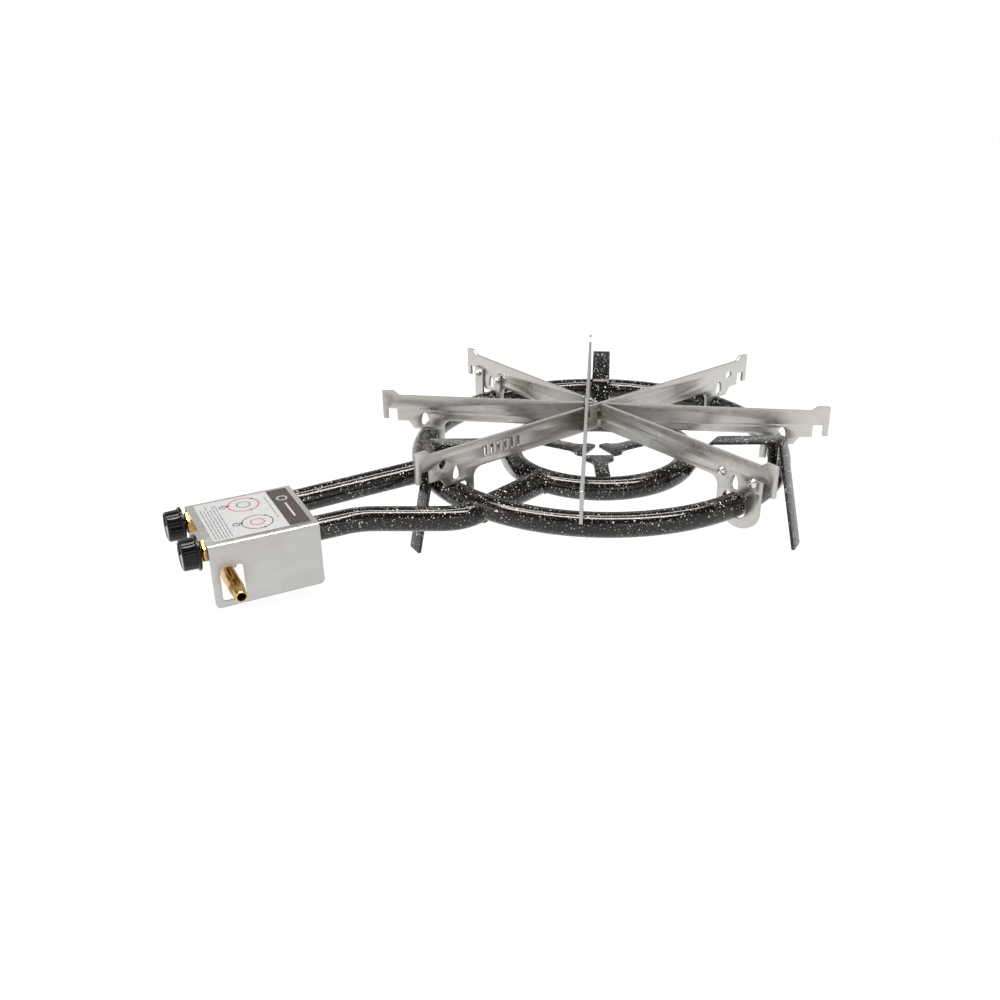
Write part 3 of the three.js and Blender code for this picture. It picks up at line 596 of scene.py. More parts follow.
# ------------------------------------------------------------------ rings with flame ports
def ring_with_ports(name, R, z, major, minor, port_angle, port_every, port_r, nodes):
    """Ring tube; the port holes are open and run through the wall. port_angle is measured from
    the outward horizontal direction, over the top."""
    bm = bmesh.new()
    grid = []

    def pt(u, v, rad=TUBE_R):
        c = R + rad * math.cos(v)
        return Vector((c * math.cos(u), c * math.sin(u), z + rad * math.sin(v)))

    pj = round(port_angle / 360 * minor)
    for i in range(major):
        u = 2 * math.pi * i / major
        grid.append([bm.verts.new(pt(u, 2 * math.pi * j / minor)) for j in range(minor)])
    ports = [i for i in range(major) if i % port_every == 0]
    skip = set()
    for i in ports:
        for di in (-1, 0):
            for dj in (-1, 0):
                skip.add(((i + di) % major, (pj + dj) % minor))
    for i in range(major):
        for j in range(minor):
            if (i, j) in skip:
                continue
            i2, j2 = (i + 1) % major, (j + 1) % minor
            bm.faces.new((grid[i][j], grid[i2][j], grid[i2][j2], grid[i][j2]))
    for i in ports:
        u = 2 * math.pi * i / major
        v = 2 * math.pi * pj / minor
        loop = [grid[(i + a) % major][(pj + b) % minor] for a, b in
                ((-1, -1), (0, -1), (1, -1), (1, 0), (1, 1), (0, 1), (-1, 1), (-1, 0))]
        local_r = R + TUBE_R * math.cos(v)
        ring1, ring2, ring3 = [], [], []
        for k, (a, b) in enumerate(((-1, -1), (0, -1), (1, -1), (1, 0), (1, 1), (0, 1), (-1, 1), (-1, 0))):
            t = math.atan2(b, a)
            du, dv = port_r * math.cos(t), port_r * math.sin(t)
            ring1.append(bm.verts.new(pt(u + 1.35 * du / local_r, v + 1.35 * dv / TUBE_R)))
            ring2.append(bm.verts.new(pt(u + du / local_r, v + dv / TUBE_R, TUBE_R - 0.22)))
            ring3.append(bm.verts.new(pt(u + du / local_r, v + dv / TUBE_R, TUBE_R - 1.6)))
        for A, B in ((loop, ring1), (ring1, ring2), (ring2, ring3)):
            for k in range(8):
                l = (k + 1) % 8
                bm.faces.new((A[k], A[l], B[l], B[k]))
    # inner wall of the tube, so a port looks into a dark bore
    inner = []
    im, jm = major // 4, 12
    for i in range(im):
        u = 2 * math.pi * i / im
        inner.append([bm.verts.new(pt(u, 2 * math.pi * j / jm, BORE_R - 1.0)) for j in range(jm)])
    for i in range(im):
        for j in range(jm):
            i2, j2 = (i + 1) % im, (j + 1) % jm
            bm.faces.new((inner[i][j], inner[i2][j], inner[i2][j2], inner[i][j2]))
    me = bpy.data.meshes.new(name)
    bm.to_mesh(me)
    bm.free()
    me.transform(MM)
    me.materials.append(ENAMEL)
    o = bpy.data.objects.new(name, me)
    bpy.context.scene.collection.objects.link(o)
    me.shade_smooth()
    me.set_sharp_from_angle(angle=math.radians(34))
    return piece(o, "burner", nodes)


ring_with_ports("outer_ring_tube", OUTER_R, 0.0, 288, 32, 146.25, 2, 0.9, ["outer_ring"])
ring_with_ports("inner_ring_tube", INNER_R, INNER_Z, 144, 32, 146.25, 2, 0.9, ["inner_ring"])


# ------------------------------------------------------------------ feed tubes
def rounded(points, radii, step=3.0):
    """Centre line with circular bends, as close points."""
    P = [Vector(p) for p in points]
    out = [P[0]]
    for i in range(1, len(P) - 1):
        u = (P[i - 1] - P[i]).normalized()
        v = (P[i + 1] - P[i]).normalized()
        half = u.angle(v) / 2
        cut = radii[i - 1] / math.tan(half)
        a, b = P[i] + u * cut, P[i] + v * cut
        L = (a - out[-1]).length
        for k in range(1, max(2, int(L / 8))):
            out.append(out[-1].lerp(a, k / max(2, int(L / 8))) if k == 1 else s0.lerp(a, k / max(2, int(L / 8))))
            if k == 1:
                s0 = out[-2]
        for k in range(0, 15):
            t = k / 14
            out.append(a * (1 - t) ** 2 + P[i] * 2 * t * (1 - t) + b * t * t)
    a, b = out[-1], P[-1]
    n = max(2, int((b - a).length / 8))
    for k in range(1, n + 1):
        out.append(a.lerp(b, k / n))
    return out


def ring_sdf(p, R, z):
    return math.hypot(math.hypot(p[0], p[1]) - R, p[2] - z) - TUBE_R


V, F = tube_mesh(rounded([OUTER_FEED[0], OUTER_FEED[1]], []), TUBE_R, 36, BORE_R)
piece(add_mesh("outer_feed_pipe", V, F, ENAMEL, 40), "burner", ["outer_feed_tube"])
inner_line = rounded(INNER_FEED, [60, 42])
V, F = tube_mesh(inner_line, TUBE_R, 36, BORE_R)
piece(add_mesh("inner_feed_pipe", V, F, ENAMEL, 40), "burner", ["inner_feed_tube"])


# ------------------------------------------------------------------ weld beads
def bead(points, r=1.25, closed=False, seed=0, segs=10):
    rnd = random.Random(seed)
    ph = [rnd.uniform(0, 6.28) for _ in range(4)]
    P = [Vector(p) for p in points]
    # even spacing
    L = [0.0]
    Q = P + ([P[0]] if closed else [])
    for i in range(1, len(Q)):
        L.append(L[-1] + (Q[i] - Q[i - 1]).length)
    n = max(6, int(L[-1] / 0.9))
    pts = []
    for k in range(n + (0 if closed else 1)):
        s = L[-1] * k / n
        i = max(1, next((j for j in range(1, len(L)) if L[j] >= s - 1e-9), len(L) - 1))
        t = (s - L[i - 1]) / max(1e-9, L[i] - L[i - 1])
        pts.append(Q[i - 1].lerp(Q[i], t))

    def rf(i):
        s = L[-1] * i / n
        w = 1 + 0.16 * math.sin(s * 2.1 + ph[0]) + 0.10 * math.sin(s * 3.7 + ph[1]) + 0.07 * math.sin(s * 0.7 + ph[2])
        if not closed:
            e = min(i, n - i)
            w *= min(1.0, 0.35 + 0.3 * e)
        return r * w
    return tube_mesh(pts, r, segs, 0, closed, rf)


def pipe_ring_curve(a, b, R, z, samples=56):
    """Where a straight pipe that runs from a towards b first meets a ring tube."""
    a, b = Vector(a), Vector(b)
    d = (b - a).normalized()
    n = Vector((0, 0, 1)) - d * d.z
    n.normalize()
    m = d.cross(n)
    out = []
    for k in range(samples):
        t = 2 * math.pi * k / samples
        p0 = a + (n * math.cos(t) + m * math.sin(t)) * TUBE_R
        s, best = 0.0, None
        prev = ring_sdf(p0, R, z)
        while s < (b - a).length + 30:
            s += 0.5
            v = ring_sdf(p0 + d * s, R, z)
            if v <= 0.0:
                best = p0 + d * (s - 0.5 * (-v) / max(1e-6, prev - v))
                break
            prev = v
        if best is None:
            # grazing line: nearest approach
            cand = min((ring_sdf(p0 + d * q, R, z), q) for q in np.arange(0, (b - a).length, 0.5))
            best = p0 + d * cand[1]
        out.append(best)
    return out


f0, f1 = Vector(INNER_FEED[2]), Vector(INNER_FEED[3])
fd = (f1 - f0).normalized()
cross_u = None
beads = [
    bead(pipe_ring_curve((-300, 32.4 + 81.5 / 195.5 * 3.2, -7.1 + 81.5 / 195.5 * 5.9), OUTER_FEED[1], OUTER_R, 0.0), 1.35, True, 1),
    bead(pipe_ring_curve(f1 - fd * 60, f1 + fd * 10, INNER_R, INNER_Z), 1.35, True, 2),
]
# the inner feed pipe passes through the outer ring: entry side and exit side
entry0 = f0 - fd * 20
beads.append(bead(pipe_ring_curve(entry0, f1, OUTER_R, 0.0), 1.2, True, 3))
beads.append(bead(pipe_ring_curve(f0 + fd * 60, f0 - fd * 40, OUTER_R, 0.0), 1.2, True, 4))
V, F = join_parts(beads)
piece(add_mesh("pipe_weld_beads", V, F, ENAMEL, 60))


# ------------------------------------------------------------------ strap legs, posts, fingers
def strip_outline(path, thickness, bends, seg=8):
    P = [Vector((x, y)) for x, y in path]
    mid = [P[0]]
    for i in range(1, len(P) - 1):
        u = (P[i - 1] - P[i]).normalized()
        v = (P[i + 1] - P[i]).normalized()
        half = math.acos(max(-1, min(1, u.dot(v)))) / 2
        R = bends[i - 1]
        cut = R / math.tan(half)
        c = P[i] + (u + v).normalized() * (R / math.sin(half))
        a, b = P[i] + u * cut - c, P[i] + v * cut - c
        a0 = math.atan2(a.y, a.x)
        da = math.atan2(b.y, b.x) - a0
        da = (da + math.pi) % (2 * math.pi) - math.pi
        for k in range(seg + 1):
            t = a0 + da * k / seg
            mid.append(Vector((c.x + R * math.cos(t), c.y + R * math.sin(t))))
    mid.append(P[-1])
    left, right = [], []
    for i in range(len(mid)):
        d0 = (mid[min(i + 1, len(mid) - 1)] - mid[min(i, len(mid) - 2)]).normalized()
        d1 = (mid[max(i, 1)] - mid[max(i - 1, 0)]).normalized()
        n = Vector((-(d0.y + d1.y), d0.x + d1.x)).normalized()
        s = thickness / 2 / max(0.5, n.dot(Vector((-d0.y, d0.x))))
        left.append((mid[i].x + n.x * s, mid[i].y + n.y * s))
        right.append((mid[i].x - n.x * s, mid[i].y - n.y * s))
    # cut level at the floor
    def trim(side):
        (x0, y0), (x1, y1) = side[-2], side[-1]
        t = (-FLOOR - y0) / (y1 - y0)
        side[-1] = (x0 + (x1 - x0) * t, -FLOOR)
    trim(left)
    trim(right)
    return left + right[::-1]


slope = (45.5 - 31.5) / (196 - 127)
hyp = math.hypot(1, slope)


def strap_under(r):
    return 31.5 + (r - 127) * slope - STRAP_T / 2 * hyp


def ring_top(r, R, z):
    return z + math.sqrt(max(0.0, TUBE_R ** 2 - (r - R) ** 2))


def radial_pts(angle, items):
    a = math.radians(angle)
    r_, t_ = Vector((math.cos(a), math.sin(a), 0)), Vector((-math.sin(a), math.cos(a), 0))
    return [r_ * r + t_ * t + Vector((0, 0, z)) for r, t, z in items]


for side, ang in LEGS.items():
    o = plate("strap_" + side, strip_outline(STRAP_PATH, STRAP_T, [7, 5]), STRAP_W, radial_matrix(ang), ENAMEL_STRAP, bevel=0.55, res=2, smooth_angle=48)
    piece(o, "burner", ["leg_strap_" + side])
    zc = strap_under(173.5) - 10 * hyp
    post = [(183.5, 6), (192.6, 6), (192.6, strap_under(192.6) + 0.6), (172.4, strap_under(172.4) + 0.6)] + arc(173.5, zc, 10, 88, 0, 12)
    o = plate("post_" + side, post, POST_T, radial_matrix(ang), ENAMEL_STRAP, bevel=0.4, res=2, smooth_angle=48)
    piece(o, "burner", ["leg_post_" + side])
    parts = []
    for s in (-1, 1):
        # post to ring
        parts.append(bead(radial_pts(ang, [(r, s * 1.9, ring_top(r, OUTER_R, 0) + 0.25) for r in np.linspace(183.0, 193.2, 9)]), 1.15, False, 20 + s + int(ang)))
        # post to strap
        parts.append(bead(radial_pts(ang, [(r, s * 1.9, strap_under(r) - 0.3) for r in np.linspace(174.5, 192.0, 9)]), 0.95, False, 30 + s + int(ang)))
        # strap to inner ring, along both edges of the strap
        e = []
        for k in range(9):
            z = -7.5 + 11.0 * k / 8
            rr = INNER_R + math.sqrt(max(0.0, TUBE_R ** 2 - (z - INNER_Z) ** 2)) + 0.25
            e.append((rr, s * 10.0, z))
        pts = radial_pts(ang, e)
        good = []
        for p in pts:
            # keep the bead on the round tube at this offset
            h = math.hypot(p.x, p.y)
            want = INNER_R + math.sqrt(max(0.0, TUBE_R ** 2 - (p.z - INNER_Z) ** 2)) + 0.2
            good.append(Vector((p.x * want / h, p.y * want / h, p.z)))
        parts.append(bead(good, 1.2, False, 40 + s + int(ang)))
    V, F = join_parts(parts)
    piece(add_mesh("leg_weld_beads_" + side, V, F, ENAMEL, 60))

for side, ang in FINGERS.items():
    fo = [(11, -15), (19.5, -15)] + [(21.6, -13.4), (23.2, -11.4), (25.2, -9.8), (27.6, -8.6), (30.5, -7.8), (34, -7.5), (86, -7.5), (86, 7.5), (34, 7.5), (30.5, 7.8), (27.6, 8.6), (25.2, 9.8), (23.2, 11.4), (21.6, 13.4)] + [(19.5, 15), (11, 15)]
    a = math.radians(ang)
    m = Matrix.Rotation(a, 4, "Z") @ Matrix.Translation((0, 0, -7.0))
    o = plate("finger_" + side, fo, 4.0, m, ENAMEL_STRAP, bevel=0.6, res=2, smooth_angle=48)
    piece(o, "burner", ["centre_finger_" + side])
    parts = []
    for zz, sgn in ((-5.0, 1), (-9.0, -1)):
        pts = []
        for k in range(9):
            t = -7.5 + 15 * k / 8
            rr = INNER_R - math.sqrt(TUBE_R ** 2 - (zz + sgn * 0.3 - INNER_Z) ** 2)
            ang_k = math.asin(t / rr)
            pts.append(Vector((rr * math.cos(a + ang_k), rr * math.sin(a + ang_k), zz + sgn * 0.4)))
        parts.append(bead(pts, 1.15, False, 60 + int(ang) + sgn))
    V, F = join_parts(parts)
    piece(add_mesh("finger_weld_beads_" + side, V, F, ENAMEL, 60))


# ------------------------------------------------------------------ pan-support bars
arm_lower = [
    (ARM_R, STOP_TOP), (ARM_R, BAND_BOTTOM + 0.2), (229.2, BAND_BOTTOM - 0.4), (229.2, 34.5), (219.3, 34.5),
    (219.3, 21), (207, 21), (201, 12.4), (188, 12.4), (178.2, 12.4), (175.4, 8), (175.4, -4),
    (168, -4), (168, 13.2), (167.7, 15.4), (167.0, 17.4), (166.0, 19.2), (164.6, 20.7), (162.8, 21.9), (160.8, 22.7), (158.5, BAND_BOTTOM)]
arm_top = [(216.5, BAND_TOP), (222.6, STOP_TOP + 0.4)]


def soften(loop, radius=0.7, n=3):
    """Rounds the corners of a closed outline a little."""
    out = []
    N = len(loop)
    for i in range(N):
        p0, p1, p2 = Vector(loop[i - 1]), Vector(loop[i]), Vector(loop[(i + 1) % N])
        u, v = p0 - p1, p2 - p1
        if u.length < 1e-6 or v.length < 1e-6:
            continue
        ang = u.angle(v)
        cut = min(radius, u.length * 0.4, v.length * 0.4)
        if ang > math.radians(155):
            out.append(tuple(p1))
            continue
        a, b = p1 + u.normalized() * cut, p1 + v.normalized() * cut
        for k in range(n + 1):
            t = k / n
            q = a * (1 - t) ** 2 + p1 * 2 * t * (1 - t) + b * t * t
            out.append((q.x, q.y))
    return out


def bar_outline(key):
    slots = BAR_SLOTS[key]
    hook = 0.9 if BAR_OFFSET[key] else 0.0
    lower = [(r - hook, z) if 170 < r < 179 else (r, z) for r, z in arm_lower]
    out = list(lower)
    for r, half, side, z in sorted((s for s in slots if s[2] == "bottom"), key=lambda s: -s[0]):
        out += [(r + half, BAND_BOTTOM), (r + half, z + 0.15), (r - half, z + 0.15), (r - half, BAND_BOTTOM)]
    out += [(-r, z) for r, z in lower[::-1]]
    out += [(-r, z) for r, z in arm_top[::-1]]
    for r, half, side, z in sorted((s for s in slots if s[2] == "top"), key=lambda s: s[0]):
        out += [(r - half, BAND_TOP), (r - half, z - 0.15), (r + half, z - 0.15), (r + half, BAND_TOP)]
    out += arm_top
    return soften(out[::-1], 0.8)


def teardrop(r):
    out = [(r + x, z) for x, z in arc(0, 20.4, 4.6, 200, 340, 14)]
    out += [(r + 4.25, 22.6), (r + 3.5, 25.6), (r + 2.6, 28.4), (r + 1.7, 30.2), (r + 0.6, 31.0), (r - 0.6, 31.0), (r - 1.7, 30.2), (r - 2.6, 28.4), (r - 3.5, 25.6), (r - 4.25, 22.6)]
    return out


def pointed_hole(r, z):
    return [(r + x, z + y) for x, y in arc(0, 0, 4.6, -30, 210, 22)] + [(r, z - 6.2)]


for key, ang in BARS.items():
    holes = []
    for s in (1, -1):
        holes.append([(s * r, z) for r, z in teardrop(188.5)])
        if key == "d":
            holes.append([(s * r, z) for r, z in pointed_hole(204, 36)])
        if key == "b":
            holes.append(circle(s * BOLT_R_IN, BOLT_Z, 2.8))
            holes.append(circle(s * BOLT_R_OUT, BOLT_Z, 2.8))
    if key == "d":
        for i in range(6):
            r = 112 + i * 8.2
            holes.append(arc(r, 41, 1.6, 0, 180, 8) + arc(r, 32.5, 1.6, 180, 360, 8))
    o = plate("arm_plate_" + key, bar_outline(key), BAR_T, radial_matrix(ang, BAR_OFFSET[key]), [PLATE[key], EDGE], holes, bevel=0.2, res=1)
    piece(o, "burner", ["support_bar_" + key])

clamp_outline = [(217, 35.5), (216.6, 36.5), (215.5, 37), (203.5, 37), (202.4, 36.5), (202, 35.5)]
clamp_outline += [(188.7 + 13.3 * math.cos(math.radians(-180 * i / 24)), 13.3 * math.sin(math.radians(-180 * i / 24))) for i in range(25)]
clamp_outline += [(175.4, 35.5), (175.0, 36.5), (174, 37), (169.4, 37), (168.4, 36.5), (168, 35.5)]
clamp_outline += [(190 + 22 * math.cos(math.radians(180 + 90 * i / 12)), 22.5 * math.sin(math.radians(180 + 90 * i / 12))) for i in range(13)]
clamp_outline += [(190 + 27 * math.cos(math.radians(270 + 90 * i / 12)), 22.5 * math.sin(math.radians(270 + 90 * i / 12))) for i in range(1, 13)]


def hex_nut(start, direction, flat, height, bore, turn=0.0, segs=72):
    """Hexagon nut with turned-down corners on both faces and a bored hole."""
    def radial(a, idx):
        k = kinds[idx]
        if k != "hex":
            return 1.0
        t = (a + turn) % (math.pi / 3) - math.pi / 6
        return min(1.0 / math.cos(t), lim[idx])
    R = flat / 2
    c = 0.35 * R * 0.3
    prof = [(bore, 0.25), (bore + 0.3, 0.0), (R * 0.94, 0.0), (R, c), (R, c * 1.6), (R, height - c * 1.6), (R, height - c), (R * 0.94, height), (bore + 0.3, height), (bore, height - 0.25), (bore, 0.25)]
    kinds = ["", "", "", "hex", "hex", "hex", "hex", "", "", "", ""]
    lim = {3: 1.04, 4: 1.1547, 5: 1.1547, 6: 1.04}
    return lathe(prof, start, direction, segs, radial)


for side, ang in (("front", BARS["b"]), ("back", BARS["b"] - 180)):
    holes = [circle(BOLT_R_IN, BOLT_Z, 2.8), circle(BOLT_R_OUT, BOLT_Z, 2.8)]
    o = plate("u_clamp_" + side, clamp_outline, CLAMP_T, radial_matrix(ang, BAR_T / 2 + 0.2 + CLAMP_T / 2), [CLAMP_STEEL, EDGE], holes, bevel=0.2, res=1)
    piece(o, "burner", ["ring_clamp_" + side])
    a = math.radians(ang)
    t = Vector((-math.sin(a), math.cos(a), 0))
    for pos, r in (("inner", BOLT_R_IN), ("outer", BOLT_R_OUT)):
        at = lambda s: Vector((r * math.cos(a), r * math.sin(a), BOLT_Z)) + t * s
        head = -BAR_T / 2 - 0.15
        prof = [(0, -3.0), (0.9, -2.95), (1.9, -2.72), (2.9, -2.28), (3.7, -1.65), (4.25, -0.95), (4.5, -0.4), (4.6, -0.15), (4.55, 0), (2.5, 0)]
        h = 0.0
        while h < 10.6:
            prof += [(2.5, h + 0.1), (2.28, h + 0.35), (2.28, h + 0.45), (2.5, h + 0.7)] if h > 3.5 else [(2.5, h + 0.1), (2.5, h + 0.7)]
            h += 0.8
        prof += [(2.1, 11.0), (0, 11.0)]
        V, F = lathe(prof, at(head), t, 32)
        piece(add_mesh("bolt_%s_%s" % (side, pos), V, F, BOLT, 40), "burner", ["clamp_bolt_%s_%s" % (side, pos)])
        V, F = hex_nut(at(BAR_T / 2 + 0.2 + CLAMP_T + 0.15), t, 7.2, 3.6, 2.6)
        piece(add_mesh("nut_%s_%s" % (side, pos), V, F, BOLT, 28), "burner", ["clamp_nut_%s_%s" % (side, pos)])


# ------------------------------------------------------------------ control cover
def boolean(o, other, op):
    mod = o.modifiers.new("b", "BOOLEAN")
    mod.operation = op
    mod.solver = "EXACT"
    mod.object = other
    apply_mods(o)
    bpy.data.objects.remove(other)


def prism(name, loop, axis, lo, hi):
    """Closed prism. axis 'x': loop is (y, z); axis 'y': loop is (x, z)."""
    V = []
    for c in (lo, hi):
        for p, q in loop:
            V.append((c, p, q) if axis == "x" else (p, c, q))
    n = len(loop)
    F = [tuple(range(n)), tuple(range(2 * n - 1, n - 1, -1))]
    for i in range(n):
        j = (i + 1) % n
        F.append((i, j, n + j, n + i))
    me = bpy.data.meshes.new(name)
    me.from_pydata(V, [], F)
    bm = bmesh.new()
    bm.from_mesh(me)
    bmesh.ops.recalc_face_normals(bm, faces=bm.faces)
    bm.to_mesh(me)
    bm.free()
    o = bpy.data.objects.new(name, me)
    bpy.context.scene.collection.objects.link(o)
    return o


y0, y1, z1, z0, R = BOX_Y - BOX_W / 2, BOX_Y + BOX_W / 2, BOX_TOP, BOX_TOP - BOX_H, 3.0
xa, xb, c = BOX_X - BOX_L / 2, BOX_X + BOX_L / 2, 5.0
section = [(y0, z0), (y0 + SHEET, z0)] + arc(y0 + R, z1 - R, R - SHEET, 180, 90, 10) + arc(y1 - R, z1 - R, R - SHEET, 90, 0, 10)
section += [(y1 - SHEET, z0), (y1, z0)] + arc(y1 - R, z1 - R, R, 0, 90, 10) + arc(y0 + R, z1 - R, R, 90, 180, 10)
cover = prism("valve_cover", section, "x", xa, xb)
side_loop = arc(xa + c, z0 + c, c, 180, 270, 10) + arc(xb - c, z0 + c, c, 270, 360, 10) + [(xb + 1, z1 + 5), (xa - 1, z1 + 5)]
side_loop = arc(xa + c, z0 + c, c, 180, 270, 10) + arc(xb - c, z0 + c, c, 270, 360, 10) + [(xb, z1 + 5), (xa, z1 + 5)]
boolean(cover, prism("cut1", side_loop, "y", -120, 120), "INTERSECT")
wr = 3.5
win = arc(WIN_X0 + wr, WIN_Z0 + wr, wr, 180, 270, 8) + arc(WIN_X1 - wr, WIN_Z0 + wr, wr, 270, 360, 8) + arc(WIN_X1 - wr, WIN_Z1 - wr, wr, 0, 90, 8) + arc(WIN_X0 + wr, WIN_Z1 - wr, wr, 90, 180, 8)
boolean(cover, prism("cut2", win, "y", y0 - 10, y0 + 10), "DIFFERENCE")
cover.data.transform(MM)
cover.data.materials.clear()
cover.data.materials.append(COVER)
cover.data.materials.append(EDGE)
mod = cover.modifiers.new("edge", "BEVEL")
mod.width = 0.22 / 1000
mod.segments = 2
mod.limit_method = "ANGLE"
mod.angle_limit = math.radians(40)
apply_mods(cover)
cover.data.shade_smooth()
cover.data.set_sharp_from_angle(angle=math.radians(38))
piece(cover, "burner", ["control_cover"])

# ------------------------------------------------------------------ label: film and generic print
def flat_at(x, y, z):
    return Matrix.Translation((x, y, z))


lx0, lx1, ly0, ly1, lr = BOX_X - 43.7, BOX_X + 45.4, BOX_Y - 41.5, BOX_Y + 41.5, 1.5
film_loop = arc(lx0 + lr, ly0 + lr, lr, 180, 270, 6) + arc(lx1 - lr, ly0 + lr, lr, 270, 360, 6) + arc(lx1 - lr, ly1 - lr, lr, 0, 90, 6) + arc(lx0 + lr, ly1 - lr, lr, 90, 180, 6)
o = plate("label_film", film_loop, 0.4, flat_at(0, 0, BOX_TOP + 0.3), FILM, bevel=0.08, res=1)
piece(o, "burner", ["label_plate"])
PRINT_Z = BOX_TOP + 0.52


def print_faces(name, loops, mat, lift=0.0):
    """Ink as thin raised faces on the film. Each item: list of (x, y) polygons, box-local."""
    V, F = [], []
    for loop in loops:
        o = len(V)
        for x, y in loop:
            V.append((BOX_X + x, BOX_Y + y, PRINT_Z + lift))
        F.append(tuple(range(o, o + len(loop))))
    me = bpy.data.meshes.new(name)
    me.from_pydata(V, [], F)
    me.transform(MM)
    me.materials.append(mat)
    ob = bpy.data.objects.new(name, me)
    bpy.context.scene.collection.objects.link(ob)
    s = ob.modifiers.new("t", "SOLIDIFY")
    s.thickness = 0.00004
    s.offset = 0
    apply_mods(ob)
    return piece(ob)


def annulus(cx, cy, r, w, a0=0, a1=360, n=48):
    """Quads of a ring or an arc."""
    out = []
    m = max(4, int(n * (a1 - a0) / 360))
    for i in range(m):
        t0, t1 = math.radians(a0 + (a1 - a0) * i / m), math.radians(a0 + (a1 - a0) * (i + 1) / m)
        ri, ro = r - w / 2, r + w / 2
        out.append([(cx + ri * math.cos(t0), cy + ri * math.sin(t0)), (cx + ro * math.cos(t0), cy + ro * math.sin(t0)),
                    (cx + ro * math.cos(t1), cy + ro * math.sin(t1)), (cx + ri * math.cos(t1), cy + ri * math.sin(t1))])
    return out


def rect(x0, y0, x1, y1):
    return [(x0, y0), (x1, y0), (x1, y1), (x0, y1)]


band = [(25.5, -41.3)] + [(44.0, -41.3), (44.9, -41.0), (45.2, -40.1), (45.2, 40.1), (44.9, 41.0), (44.0, 41.3)] + [(25.5, 41.3)]
print_faces("label_band", [band], INK_DARK)
# diagrams: which ring each knob works, the worked ring in red
print_faces("label_diagram_red", annulus(-0.8, 22.5, 14.4, 1.3) + annulus(1.4, -19.5, 6.2, 1.2), INK_RED)
black = annulus(-0.8, 22.5, 6.2, 0.9) + annulus(1.4, -19.5, 14.0, 0.9)
for cy, cx in ((22.5, -0.8), (-19.5, 1.4)):
    for t in (45, 165, 285):
        x, y = cx + 14.2 * math.cos(math.radians(t)), cy + 14.2 * math.sin(math.radians(t))
        black.append([(x + 1.3 * math.cos(math.radians(k * 45 + 22)), y + 1.3 * math.sin(math.radians(k * 45 + 22))) for k in range(8)])
    # the knob: a small disc with a pointer
    kx, ky = cx - 18.5, cy + 3.0
    black += annulus(kx, ky, 3.0, 1.0, n=28)
    black.append(rect(kx - 0.4, ky + 0.3, kx + 0.4, ky + 2.9))
print_faces("label_diagram_black", black, INK_BLACK)
# plain rules where the instructions would be: grey bars of uneven length, no letters
rules = []
rnd = random.Random(5)
for i in range(6):
    x = -40.6 + i * 2.9
    y = -38.5
    end = 38.5 - rnd.uniform(0, 14)
    while y < end:
        w = rnd.uniform(3.5, 9.0)
        rules.append(rect(x, y, x + 0.75, min(y + w, end)))
        y += w + 1.1
for xx in (20.6,):
    y = -20
    while y < 30:
        w = rnd.uniform(4, 9)
        rules.append(rect(xx, y, xx + 0.8, y + w))
        y += w + 1.2
print_faces("label_rules", rules, INK_GREY)
# plain ring and plain bar in the band
print_faces("label_band_ring", annulus(35.4, 19.5, 4.6, 1.3, n=40), FILM, 0.06)
print_faces("label_band_bar", [rect(34.5, -24, 36.3, 8)], FILM, 0.06)


